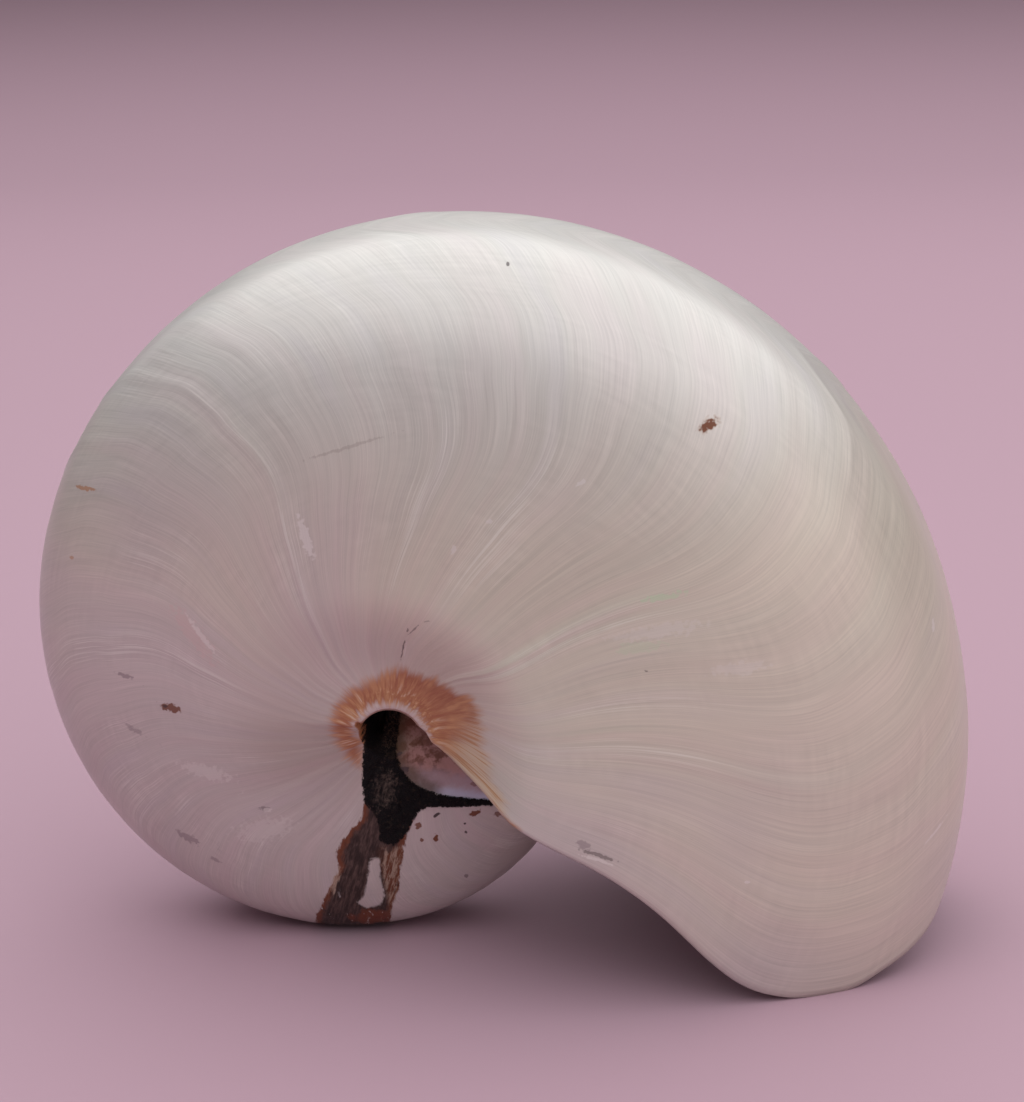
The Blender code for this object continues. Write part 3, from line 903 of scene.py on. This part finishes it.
TONES = {
    # Painted shade of the hollow beside the umbilicus
    "dusky pearl": (0.385, 0.300, 0.268),
    # Partly painted highlight along the growth ridges
    "crisp line": (0.82, 0.79, 0.74),
    "cream fibre": (0.70, 0.56, 0.48),
    "pale tail": (0.66, 0.53, 0.40),
    "rusty tail": (0.50, 0.25, 0.11),
    "pale rim": (0.64, 0.53, 0.51),
    "rusty rim": (0.56, 0.30, 0.17),
    "brownish nacre": (0.46, 0.265, 0.225),
    "brown blotch": (0.20, 0.085, 0.052),
    "lilac nacre": (0.44, 0.33, 0.35),
    "blue nacre": (0.52, 0.55, 0.66),
    # Painted shade beside the tarry crust
    "olive nacre": (0.095, 0.060, 0.028),
    "dark thread": (0.030, 0.017, 0.015),
    "brown thread": (0.135, 0.083, 0.073),
    "dark smear": (0.030, 0.018, 0.016),
    "rusty edge": (0.20, 0.060, 0.028),
    "rusty streak": (0.16, 0.050, 0.024),
    "tan streak": (0.42, 0.30, 0.23),
    "brown smear": (0.055, 0.024, 0.018),
    "cream edge": (0.50, 0.37, 0.29),
    "rusty foot": (0.190, 0.052, 0.026),
    "rusty wall": (0.48, 0.20, 0.09),
    "bare wall": (0.50, 0.33, 0.26),
    "black tar": (0.004, 0.003, 0.004),
    # Painted glint on the tar's grain
    "brown tar": (0.040, 0.026, 0.018),
    "worn tar": (0.135, 0.098, 0.082),
    # Painted glint along the tar's cracks
    "tar crack": (0.150, 0.095, 0.062),
}

# Play of colour in the pearl: places on a noise and their colours
SPECTRUM = (
    (0.30, (0.80, 0.58, 0.64, 1.0)),
    (0.45, (0.70, 0.68, 0.60, 1.0)),
    (0.56, (0.58, 0.70, 0.60, 1.0)),
    (0.70, (0.58, 0.63, 0.74, 1.0)),
)

# Farthest from the stains' outlines, in millimetres, that the stained finish reaches
STAIN_REACH = 4.0

PEARL_COAT = {"Coat Weight": 0.30, "Coat Roughness": 0.36}
TAR_SPECULAR = 0.18
FLOOR_ROUGHNESS = 0.75


class Surface(Nodes):
    """A material's tree, with the nodes that finishes are made of."""

    def __init__(self, name):
        material = bpy.data.materials.new(name)
        material.use_nodes = True
        material.node_tree.nodes.clear()
        super().__init__(material.node_tree)
        self.material = material

    def attribute(self, name):
        return self.split(self.node("ShaderNodeAttribute", {"attribute_name": name}, None, "Vector"))

    def noise(self, x, y, z, detail, roughness, output=0):
        values = {"Vector": self.vector(x, y, z), "Scale": 1.0, "Detail": detail, "Roughness": roughness}
        return self.node("ShaderNodeTexNoise", None, values, output)

    def blend(self, factor, first, second):
        """Mix of two colours; a name stands for one of the tones."""
        return self.mix_colour(factor, tone(first), tone(second))

    def spot(self, centre, size, tilt=0.0):
        """1 at the middle of an oval spot, 0 at its edge and below 0 outside it."""
        turn = math.radians(tilt)
        across = self.x - centre[0]
        up = self.z - centre[1]
        along = (across * math.cos(turn) + up * math.sin(turn)) / size[0]
        beside = (up * math.cos(turn) - across * math.sin(turn)) / size[1]
        return 1.0 - hypotenuse(along, beside)

    def bump(self, height):
        """Normal of a relief that is given in millimetres."""
        values = {"Strength": 1.0, "Distance": 1.0 / MILLIMETRES, "Height": height}
        return self.node("ShaderNodeBump", None, values)

    def principled(self, values):
        return self.node("ShaderNodeBsdfPrincipled", None, values)

    def mix_shaders(self, factor, first, second):
        return self.node("ShaderNodeMixShader", None, {0: factor, 1: first, 2: second})

    def finish(self, shader):
        end = self.tree.nodes.new("ShaderNodeOutputMaterial")
        self.tree.links.new(shader.socket, end.inputs["Surface"])
        return self.material


def tone(colour):
    """A term as it is; a colour, or the one that a name stands for, with an alpha of 1."""
    if isinstance(colour, Term):
        return colour
    if isinstance(colour, str):
        colour = TONES[colour]
    return (*colour, 1.0)


class ShellSurface(Surface):
    """The shell's material, with the places, masks and noises that its layers share.

    Places are millimetres from the coiling axis.
    """

    def __init__(self, settings):
        super().__init__("pearl")
        self.settings = settings
        x, y, z = self.split(self.node("ShaderNodeTexCoord", None, None, "Object"))
        self.x = (x - AXIS_X) * MILLIMETRES
        self.y = y * MILLIMETRES
        self.z = (z - AXIS_Z) * MILLIMETRES
        self.stage, self.place, zone = self.attribute("growth")
        self.tar_edge, self.stripe_edge, self.patch_edge = self.attribute("umbilicus")
        self.gap_edge, self.rust_edge, _ = self.attribute("stains")
        self.near_side = self.y.math("LESS_THAN", 0.0)
        self.outside = zone.math("LESS_THAN", 0.5)
        self.inside = 1.0 - self.outside
        self.in_pit = self.smooth(-zone, 0.02, 0.35)
        self.radius = hypotenuse(self.x, self.z)
        pit_x = self.x - PIT_X * MILLIMETRES
        pit_z = self.z - PIT_Z * MILLIMETRES
        self.pit_radius = hypotenuse(pit_x, pit_z)
        self.around_pit = pit_z.math("ARCTAN2", pit_x)
        self.add_line_noises()
        self.add_stain_noises()

    def add_line_noises(self):
        """Growth lines, broad to hair-fine, and the fine lines across them."""
        self.line = self.stage + old_line_shift(self, self.stage, self.place)
        over = self.place * self.near_side + (2.0 - self.place) * (1.0 - self.near_side)
        self.broad = self.noise(self.line * 0.09, over, 0.0, 1.0, 0.5) - 0.5
        self.middling = self.noise(self.line * 0.62, over * 2.6, 0.0, 2.0, 0.65) - 0.5
        hairs = self.noise(self.line * 3.6, over * 6.0, 0.0, 1.0, 0.7) - 0.5
        self.hairs = hairs * (self.smooth(self.radius, 9.0, 26.0) * 0.75 + 0.25)
        self.clusters = self.noise(self.line * 0.07, over * 5.0, 2.0, 2.0, 0.6)
        crossing = self.noise(over * 75.0, self.line * 0.14, 0.0, 1.0, 0.6) - 0.5
        crossing = crossing * self.smooth(self.radius, 16.0, 30.0)
        self.crossing = crossing * self.smooth(self.clusters, 0.35, 0.65)
        self.play = self.noise(self.line * 0.16, over * 2.6, 3.0, 1.0, 0.5)

    def add_stain_noises(self):
        """Noises of the stains, which differ from side to side."""
        x, z = self.x, self.z
        hand = self.near_side * 7.0
        self.wobble = self.split(self.noise(x * 1.3, z * 1.3, 4.0, 1.0, 0.7, "Color"))
        self.fibres = self.noise(self.around_pit * 11.0, self.pit_radius * 0.10, self.line * 0.05, 3.0, 0.65)
        self.combed = self.noise(self.line * 0.9, self.place * 9.0, 1.0, 3.0, 0.65)
        self.blots = self.noise(x * 0.30, z * 0.30, hand + 1.0, 2.0, 0.5)
        self.blotch = self.noise(x * 0.42, z * 0.42, hand, 3.0, 0.65)
        self.ragged = self.noise(x * 1.1, z * 0.45, hand, 4.0, 0.72)
        self.smears = self.noise(x * 0.45, z * 0.22, hand + 5.0, 3.0, 0.7)
        self.threads = self.noise(x * 1.9 - z * 0.55, z * 0.30 + x * 0.10, hand, 5.0, 0.72)
        self.teeth = self.noise(x * 2.4, z * 1.5, hand, 3.0, 0.75)
        self.grain = self.noise(x * 1.8, self.y * 1.8, z * 1.8, 4.0, 0.7)


def base_pearl(s):
    """Pearl, mauve-grey at the lower left and warm grey at the upper right, with its streaks. The mauve-grey
    is partly painted shade with a painted pink bounce from the floor, the whiter top is partly a painted
    highlight, and the hollow beside the umbilicus has painted shade.
    """
    cloud = s.noise(s.x * 0.035, s.y * 0.035, s.z * 0.035, 1.0, 0.55)
    # Painted shade and a painted pink bounce from the floor: a darker mauve-grey tone towards the lower left,
    # mixed with random cloud.
    warm = s.smooth((cloud - 0.5) * 1.1 + s.z * 0.007 + s.x * 0.005, -0.30, 0.42)
    colour = s.blend(warm, s.settings.rosy_pearl, s.settings.warm_pearl)
    # Partly painted highlight: the top of the whorl turns whiter, partly its own paler tone and partly the
    # highlight of the light overhead.
    high = s.smooth(s.z + cloud * 10.0, 30.0, 66.0)
    colour = s.blend(high * 0.8, colour, s.settings.white_pearl)
    # Painted shade: a darker dusky tone in the hollow to the left of and below the umbilicus.
    painted_shade = s.smooth(s.spot((-12.0, -5.0), (20.0, 15.0), 10.0) + (cloud - 0.5) * 0.8, 0.0, 0.9)
    colour = s.blend(painted_shade * 0.55, colour, "dusky pearl")
    streak = s.broad * 0.18 + s.middling * 0.20 + s.hairs * 0.34 + s.crossing * 0.18 + 1.0
    streak = streak - s.smooth(s.middling, 0.09, 0.22) * 0.07
    return s.mix_colour(1.0, colour, s.vector(streak, streak, streak), "MULTIPLY")


def crisp_lines(s):
    """Where the pale crisp growth lines are, most of them in bunches; they are partly the pearl's own pale
    lines and partly painted highlight along the growth ridges.
    """
    bunch = 0.0
    for angle, spread, low, high in BUNCHES:
        apart = abs(s.line - angle) / spread
        along = s.between(s.place, (low - 0.05, low + 0.04), (high - 0.06, high + 0.04))
        bunch = (1.0 - apart).math("MAXIMUM", 0.0) * along + bunch
    brushed = s.smooth(s.clusters, 0.50, 0.68) * s.fade(s.radius, 38.0, 60.0) * 0.8
    fine = s.smooth(s.hairs + s.middling * 0.35, 0.03, 0.14)
    return fine * (bunch + brushed).math("MINIMUM", 1.0)


def add_marks(s, colour, where):
    """Colour with the small spots and scratches laid over it."""
    wobble_x, wobble_z, grit = s.wobble
    for layer in range(MARK_LAYERS):
        along, beside, nearness = s.attribute(f"mark_{layer}")
        tint = s.node("ShaderNodeAttribute", {"attribute_name": f"mark_tint_{layer}"}, None, "Color")
        along = along + (wobble_x - 0.5) * 1.3
        beside = beside + (wobble_z - 0.5) * 1.3
        spot = (grit - 0.5) * 1.3 - hypotenuse(along, beside)
        mask = s.smooth(spot, -1.0, -0.6) * s.smooth(nearness, -1.6, -1.2) * tint.other("Alpha")
        colour = s.mix_colour(mask * where, colour, tint)
    return colour


def add_fan(s, colour):
    """Colour with the rusty fan of fibres over the umbilicus, and the pale callus inside it."""
    fibres, settings = s.fibres, s.settings
    young = s.fade(s.stage, 264.0, 276.0) * s.outside
    over_pit = s.smooth(s.z + s.x * 0.5, -6.5, -4.5)
    callus = s.fade(s.pit_radius + (fibres - 0.5) * 4.0, 5.2, 6.9) * over_pit
    fan = s.smooth(s.rust_edge + (fibres - 0.5) * 4.6, -0.8, 1.6) * young
    rust = s.blend(s.smooth(fibres, 0.36, 0.68), settings.dark_rust, settings.pale_rust)
    rust = s.blend(s.smooth(s.blots, 0.42, 0.62) * 0.45, rust, settings.dark_rust)
    cream = s.smooth(fibres, 0.56, 0.68) * s.fade(s.pit_radius, 7.0, 11.0)
    rust = s.blend(cream * 0.6, rust, "cream fibre")
    tail = s.smooth(s.x * 0.9 - s.z * 0.5, 8.5, 13.5)
    combed = s.blend(s.smooth(s.combed, 0.46, 0.60), "pale tail", "rusty tail")
    rust = s.blend(tail * 0.9, rust, combed)
    colour = s.blend(fan * (1.0 - callus * 0.9) * 0.93, colour, rust)
    rim = s.blend(s.smooth(fibres, 0.56, 0.66), "pale rim", "rusty rim")
    return s.blend(callus * young * 0.8, colour, rim), fan


def add_nacre(s, colour):
    """Colour with the old whorl's nacre under the lip: brownish, then lilac, then pale blue, with painted
    shade in dark olive beside the tarry crust.
    """
    blotch = s.blotch - 0.5
    nacre = s.blend(s.smooth(blotch, -0.06, 0.10), "brownish nacre", "brown blotch")
    below = -s.z - s.x * 0.20
    nacre = s.blend(s.smooth(below + blotch * 3.0, 8.4, 11.0), nacre, "lilac nacre")
    nacre = s.blend(s.smooth(below + blotch * 2.0, 11.4, 13.2), nacre, "blue nacre")
    # Painted shade: a dark olive band in the nacre beside the tarry crust.
    reach = s.smooth(s.z, -8.0, -12.0) * 1.2 + 2.4
    shade_beside_tar = s.fade(blotch * 3.5 - s.tar_edge, 0.0, reach)
    shade_beside_tar = shade_beside_tar * s.fade(s.x, 5.5, 8.5)
    nacre = s.blend(shade_beside_tar * 0.85, nacre, "olive nacre")
    under_lip = (s.smooth(s.stage, 262.0, 272.0) * s.outside).math("MAXIMUM", s.in_pit)
    patch = s.smooth(s.patch_edge + blotch * 0.8, -0.15, 0.35) * under_lip
    return add_marks(s, s.blend(patch, colour, nacre), s.near_side * patch)


def add_stripe(s, colour):
    """Colour with the grey-brown stripe of the old whorl, which has rusty edges and a gap."""
    threads, smears, ragged = s.threads, s.smears - 0.5, s.ragged - 0.5
    inward = s.stripe_edge + ragged * 2.0
    stripe = s.smooth(inward, -0.1, 0.3) * s.smooth(s.stage, 232.0, 238.0) * s.outside
    paint = s.blend(s.smooth(threads, 0.36, 0.72), "dark thread", "brown thread")
    paint = s.blend(s.smooth(smears, 0.02, 0.14) * 0.7, paint, "dark smear")
    edge = s.fade(inward + smears * 1.6, 0.3, 1.3)
    paint = s.blend(edge * 0.85, paint, "rusty edge")
    column = s.blend(s.smooth(threads, 0.44, 0.58), "rusty streak", "tan streak")
    column = s.blend(s.smooth(smears, 0.00, 0.10) * 0.8, column, "brown smear")
    right_half = s.smooth(s.x + s.z * 0.12, -6.6, -5.6) * s.fade(s.z, -25.0, -23.0)
    paint = s.blend(right_half * 0.85, paint, column)
    cream = s.smooth(s.spot((-10.9, -29.6), (1.9, 4.6), -22.0) + (threads - 0.5) * 2.4, 0.2, 0.7)
    paint = s.blend(cream * 0.85, paint, "cream edge")
    foot = s.smooth(s.spot((-5.4, -38.2), (4.4, 3.0), 10.0) + smears * 2.4, 0.1, 0.6)
    paint = s.blend(foot * 0.9, paint, "rusty foot")
    gap = s.smooth(s.gap_edge + ragged * 1.4, -0.2, 0.3)
    crumbs = s.smooth(smears + ragged * 0.4, 0.10, 0.16) * s.fade(s.z, -35.5, -31.0)
    bare = (gap + crumbs).math("MINIMUM", 1.0)
    cover = stripe * (1.0 - bare)
    return s.blend(cover, colour, paint), stripe, cover


def tar_cover(s):
    """Where the tarry crust lies, and where the wall under the arch of the pit is bare."""
    teeth = s.teeth - 0.5
    bite = 1.5 - s.smooth(s.x, 5.0, 9.0) * 0.7
    tar = s.smooth(s.tar_edge + teeth * bite, -0.05, 0.15) * s.outside * s.smooth(s.stage, 215.0, 222.0)
    arch_side = s.fade(s.x * 0.5 - s.z, 2.6, 3.6)
    from_middle = s.pit_radius + teeth * 0.5
    wall = s.smooth(from_middle, 4.1, 4.3) * arch_side
    line_under_wall = s.smooth(from_middle, 3.7, 3.9) * arch_side
    old_side = s.smooth(s.x * 0.64 - s.z * 0.77, 0.6, 1.8)
    bare = s.smooth(s.patch_edge + teeth * 0.8, 0.0, 0.4) * old_side * (1.0 - line_under_wall)
    bare = bare.math("MAXIMUM", wall)
    return tar.math("MAXIMUM", s.in_pit * (1.0 - bare)), s.in_pit * wall


def add_tar(s, colour):
    """Colour with the tarry crust, worn grey in its middle, with painted glints of the glossy crust: brown on
    its grain, and light brown along its cracks near the nacre.
    """
    tar, wall = tar_cover(s)
    wall_colour = s.blend(s.smooth(s.x, -4.6, -3.4), "rusty wall", "bare wall")
    colour = s.blend(wall, colour, wall_colour)
    # Painted glint: brown patches on the grain stand for the shine of the glossy crust.
    paint = s.blend(s.smooth(s.grain, 0.52, 0.76), "black tar", "brown tar")
    worn = s.smooth(s.spot((-1.6, -13.5), (2.4, 4.2), -12.0) + (s.grain - 0.5) * 3.0, 0.0, 0.9)
    paint = s.blend(worn * s.smooth(s.threads, 0.34, 0.62) * 0.85, paint, "worn tar")
    # Painted glint: light brown lines along the cracks stand for their shine.
    cracks = s.fade(abs(s.blotch - s.grain + 0.02), 0.0, 0.035)
    cracked = s.smooth(s.spot((-0.3, -4.6), (2.0, 4.4)) + s.teeth - 0.5, 0.0, 0.5)
    paint = s.blend(cracks * cracked * 0.8, paint, "tar crack")
    return s.blend(tar, colour, paint), tar


def pearl_material(settings):
    """Mother of pearl with growth lines, faint play of colour, stains and the tarry crust."""
    s = ShellSurface(settings)
    pale_and_highlit = crisp_lines(s)
    # Partly painted highlight: near-white lines, most of them along the growth ridges.
    pearl = s.blend(pale_and_highlit * 0.42, base_pearl(s), "crisp line")
    spectrum = s.node("ShaderNodeValToRGB", {"stops": SPECTRUM}, {0: s.play})
    pearl = s.blend(s.outside * 0.07, pearl, spectrum)
    pearl = s.blend(s.inside, pearl, settings.chamber)
    pearl = add_marks(s, pearl, s.near_side * s.outside)
    stained, fan = add_fan(s, pearl)
    stained = add_nacre(s, stained)
    stained, stripe, stripe_cover = add_stripe(s, stained)
    stained, tar = add_tar(s, stained)

    # Gloss, and relief too fine for the mesh
    pearl_gloss = s.middling * 0.10 + s.hairs * 0.16 + pale_and_highlit * 0.06 + s.inside * 0.1 + settings.roughness
    crust = (stripe_cover * 0.75).math("MAXIMUM", tar)
    stained_gloss = (pearl_gloss + fan * 0.10) * (1.0 - crust) + crust * (s.grain * 0.35 + 0.30)
    lines_height = s.middling * 0.034 + s.hairs * 0.014
    crust_height = tar * (s.grain * 0.50 + 0.06) + stripe * s.threads * 0.10
    stained_bump = s.bump(lines_height * (1.0 - tar) + crust_height)

    plain = s.principled({
        "Base Color": pearl, "Roughness": pearl_gloss, "Metallic": s.outside * settings.lustre,
        "Normal": s.bump(lines_height), **PEARL_COAT,
    })
    under = {"Base Color": stained, "Roughness": stained_gloss, "Normal": stained_bump}
    glossy = s.principled({**under, "Metallic": settings.lustre, **PEARL_COAT})
    crusty = s.principled({**under, "Specular IOR Level": TAR_SPECULAR})
    nearest_edge = s.tar_edge.math("MAXIMUM", s.stripe_edge)
    nearest_edge = nearest_edge.math("MAXIMUM", s.patch_edge).math("MAXIMUM", s.rust_edge)
    near_stains = nearest_edge.math("GREATER_THAN", -STAIN_REACH) * s.outside
    return s.finish(s.mix_shaders(near_stains, plain, s.mix_shaders(crust, glossy, crusty)))


def floor_material(settings):
    """Plain matt paper."""
    s = Surface("pale_floor")
    return s.finish(s.principled({"Base Color": tone(settings.floor_colour), "Roughness": FLOOR_ROUGHNESS}))


# Settings


def colour_setting(name, description, default):
    return bpy.props.FloatVectorProperty(
        name=name, description=description, default=default, min=0.0, max=1.0, size=3, subtype="COLOR"
    )


def share_setting(name, description, default, lowest=0.0, highest=1.0):
    return bpy.props.FloatProperty(
        name=name, description=description, default=default, min=lowest, max=highest, subtype="FACTOR"
    )


def length_setting(name, description, default, low, high):
    return bpy.props.FloatProperty(
        name=name, description=description, default=default, min=low, max=high,
        subtype="DISTANCE", unit="LENGTH", precision=5,
    )


def power_setting(name, description, default):
    return bpy.props.FloatProperty(
        name=name, description=description, default=default, min=0.0, max=500.0, unit="POWER"
    )


class ShellSizes(bpy.types.PropertyGroup):
    """Sizes of the shell."""

    rim_radius: length_setting(
        "Rim radius", "Distance from the coiling axis to the rim at angle zero", RADIUS_AT_ZERO, 0.02, 0.3
    )
    growth_per_turn: bpy.props.FloatProperty(
        name="Growth per turn",
        description="How many times wider the spiral is one turn younger",
        default=GROWTH_PER_TURN, min=2.0, max=4.0, precision=4,
    )
    half_width_ratio: bpy.props.FloatProperty(
        name="Half width ratio",
        description="Half width of the whorl over its radius",
        default=HALF_WIDTH_RATIO, min=0.2, max=0.7, precision=4,
    )
    step_height: share_setting(
        "Step height", "Height of the growth steps, 1 being as seen", STEP_SHARE, highest=3.0
    )
    wave_height: length_setting(
        "Wave height", "Height of the gentle waves between the growth steps", WAVE_HEIGHT, 0.0, 0.001
    )


class ShellFinish(bpy.types.PropertyGroup):
    """Colours and gloss of the shell."""

    warm_pearl: colour_setting(
        "Warm pearl", "Colour of the upper and right part of the flank", (0.650, 0.580, 0.488)
    )
    # Partly a painted highlight of the light overhead on the top of the whorl.
    white_pearl: colour_setting("White pearl and highlight", "Colour of the top of the whorl", (0.66, 0.645, 0.63))
    # Painted shade and a painted pink bounce from the floor are in this darker mauve-grey of the lower left.
    rosy_pearl: colour_setting(
        "Shaded rosy pearl", "Colour of the lower and left part of the flank", (0.565, 0.487, 0.475)
    )
    dark_rust: colour_setting(
        "Dark rust", "Darkest fibres of the fan over the umbilicus", (0.38, 0.118, 0.045)
    )
    pale_rust: colour_setting(
        "Pale rust", "Palest fibres of the fan over the umbilicus", (0.60, 0.30, 0.13)
    )
    chamber: colour_setting("Chamber", "Colour of the body chamber's wall", (0.50, 0.44, 0.42))
    roughness: share_setting("Roughness", "Roughness of the polished pearl", 0.38, lowest=0.05)
    lustre: share_setting("Lustre", "Share of metal-like reflection in the pearl", 0.25)


class StageSettings(bpy.types.PropertyGroup):
    """Floor, lights and camera."""

    floor_colour: colour_setting("Floor colour", "Colour of the plain floor", (0.49, 0.318, 0.388))
    floor_size: bpy.props.FloatProperty(
        name="Floor size", description="Length of the square floor's side",
        default=6.0, min=1.0, max=20.0, subtype="DISTANCE", unit="LENGTH",
    )
    overhead_power: power_setting("Overhead light", "Power of the large soft light overhead", 24.5)
    front_power: power_setting("Front light", "Power of the weak light beside the camera", 2.2)
    back_power: power_setting("Back light", "Power of the low light behind the shell", 0.3)


class SHELL_OT_grow(bpy.types.Operator):
    """Grow the shell and give it its finish"""

    bl_idname = "nautilus.grow_shell"
    bl_label = "Grow shell"

    def execute(self, context):
        sizes = context.scene.nautilus_sizes
        values = {
            "Rim radius": sizes.rim_radius,
            "Growth per turn": sizes.growth_per_turn,
            "Half width ratio": sizes.half_width_ratio,
            "Step height": sizes.step_height,
            "Wave height": sizes.wave_height,
            "Material": pearl_material(context.scene.nautilus_finish),
        }
        tree = ShellTree().tree
        mesh = grown_mesh("pearl_shell", tree, values)
        store_marks(mesh)
        raise_crust(mesh)
        shell = bpy.data.objects.new("pearl_shell", mesh)
        context.scene.collection.objects.link(shell)
        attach(shell, "root")
        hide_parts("shell")
        return {"FINISHED"}


# Camera, as fitted to the outline in the photo
CAMERA_PLACE = (0.03924, -0.42776, 0.19773)
CAMERA_AIM = (0.001646, 0.0, 0.063163)
CAMERA_ROLL = -0.99387
CAMERA_LENS = 92.23
CAMERA_SENSOR = 36.0

# Lights: name, place, what it is aimed at, sizes and colour
LIGHTS = (
    ("overhead", (0.20, -0.04, 0.85), (0.20, -0.04, 0.0), (2.2, 2.4), (0.99, 0.99, 1.0)),
    ("front", (0.90, -0.95, 0.35), (0.0, 0.0, 0.05), (1.2, 0.6), (1.0, 0.97, 0.94)),
    ("back", (-0.04, 0.62, 0.30), (0.0, 0.0, 0.11), (1.3, 0.25), (1.0, 0.96, 0.97)),
)
ROOM_COLOUR = (0.60, 0.54, 0.56)
ROOM_STRENGTH = 0.15


def add_light(name, place, aim, size, colour, power):
    data = bpy.data.lights.new(name, "AREA")
    data.shape = "RECTANGLE"
    data.size, data.size_y = size
    data.energy = power
    data.color = colour
    light = bpy.data.objects.new(name, data)
    bpy.context.scene.collection.objects.link(light)
    light.location = place
    light.rotation_mode = "QUATERNION"
    light.rotation_quaternion = turned_to(place, aim)


def turned_to(place, aim):
    """Turn of a light or camera that looks from its place to an aim."""
    return (Vector(aim) - Vector(place)).to_track_quat("-Z", "Y")


def add_floor(settings):
    half = 0.5 * settings.floor_size
    mesh = bpy.data.meshes.new("pale_floor")
    corners = [(-half, -half, 0.0), (half, -half, 0.0), (half, half, 0.0), (-half, half, 0.0)]
    mesh.from_pydata(corners, [], [(0, 1, 2, 3)])
    mesh.materials.append(floor_material(settings))
    floor = bpy.data.objects.new("pale_floor", mesh)
    bpy.context.scene.collection.objects.link(floor)


def add_room():
    """Faint even light from all sides."""
    world = bpy.data.worlds.new("soft_room")
    world.use_nodes = True
    background = world.node_tree.nodes["Background"]
    background.inputs["Color"].default_value = (*ROOM_COLOUR, 1.0)
    background.inputs["Strength"].default_value = ROOM_STRENGTH
    bpy.context.scene.world = world


def add_camera():
    data = bpy.data.cameras.new("camera")
    data.lens = CAMERA_LENS
    data.sensor_width = CAMERA_SENSOR
    data.clip_start = 0.01
    data.clip_end = 20.0
    camera = bpy.data.objects.new("camera", data)
    bpy.context.scene.collection.objects.link(camera)
    camera.location = CAMERA_PLACE
    camera.rotation_mode = "QUATERNION"
    roll = Quaternion((0.0, 0.0, 1.0), math.radians(CAMERA_ROLL))
    camera.rotation_quaternion = turned_to(CAMERA_PLACE, CAMERA_AIM) @ roll
    bpy.context.scene.camera = camera


class SHELL_OT_stage(bpy.types.Operator):
    """Lay the floor, hang the lights and set the camera"""

    bl_idname = "nautilus.set_stage"
    bl_label = "Set stage"

    def execute(self, context):
        settings = context.scene.nautilus_stage
        add_floor(settings)
        for name, place, aim, size, colour in LIGHTS:
            add_light(name, place, aim, size, colour, getattr(settings, f"{name}_power"))
        add_room()
        add_camera()
        context.scene.view_settings.view_transform = "Standard"
        return {"FINISHED"}


class SHELL_PT_panel(bpy.types.Panel):
    """Settings and steps of the nautilus shell"""

    bl_idname = "SHELL_PT_panel"
    bl_label = "Nautilus shell"
    bl_space_type = "VIEW_3D"
    bl_region_type = "UI"
    bl_category = "Shell"

    def draw(self, context):
        scene = context.scene
        for settings in (scene.nautilus_sizes, scene.nautilus_finish, scene.nautilus_stage):
            box = self.layout.box()
            for name in settings.bl_rna.properties.keys():
                if name not in ("rna_type", "name"):
                    box.prop(settings, name)
        for operator in OPERATORS:
            self.layout.operator(operator.bl_idname)


OPERATORS = (SHELL_OT_grow, SHELL_OT_stage)
CLASSES = (ShellSizes, ShellFinish, StageSettings, *OPERATORS, SHELL_PT_panel)


def register():
    for item in CLASSES:
        bpy.utils.register_class(item)
    bpy.types.Scene.nautilus_sizes = bpy.props.PointerProperty(type=ShellSizes)
    bpy.types.Scene.nautilus_finish = bpy.props.PointerProperty(type=ShellFinish)
    bpy.types.Scene.nautilus_stage = bpy.props.PointerProperty(type=StageSettings)


def unregister():
    del bpy.types.Scene.nautilus_stage
    del bpy.types.Scene.nautilus_finish
    del bpy.types.Scene.nautilus_sizes
    for item in reversed(CLASSES):
        bpy.utils.unregister_class(item)


def main():
    register()
    bpy.ops.nautilus.grow_shell()
    bpy.ops.nautilus.set_stage()


if __name__ == "__main__":
    main()
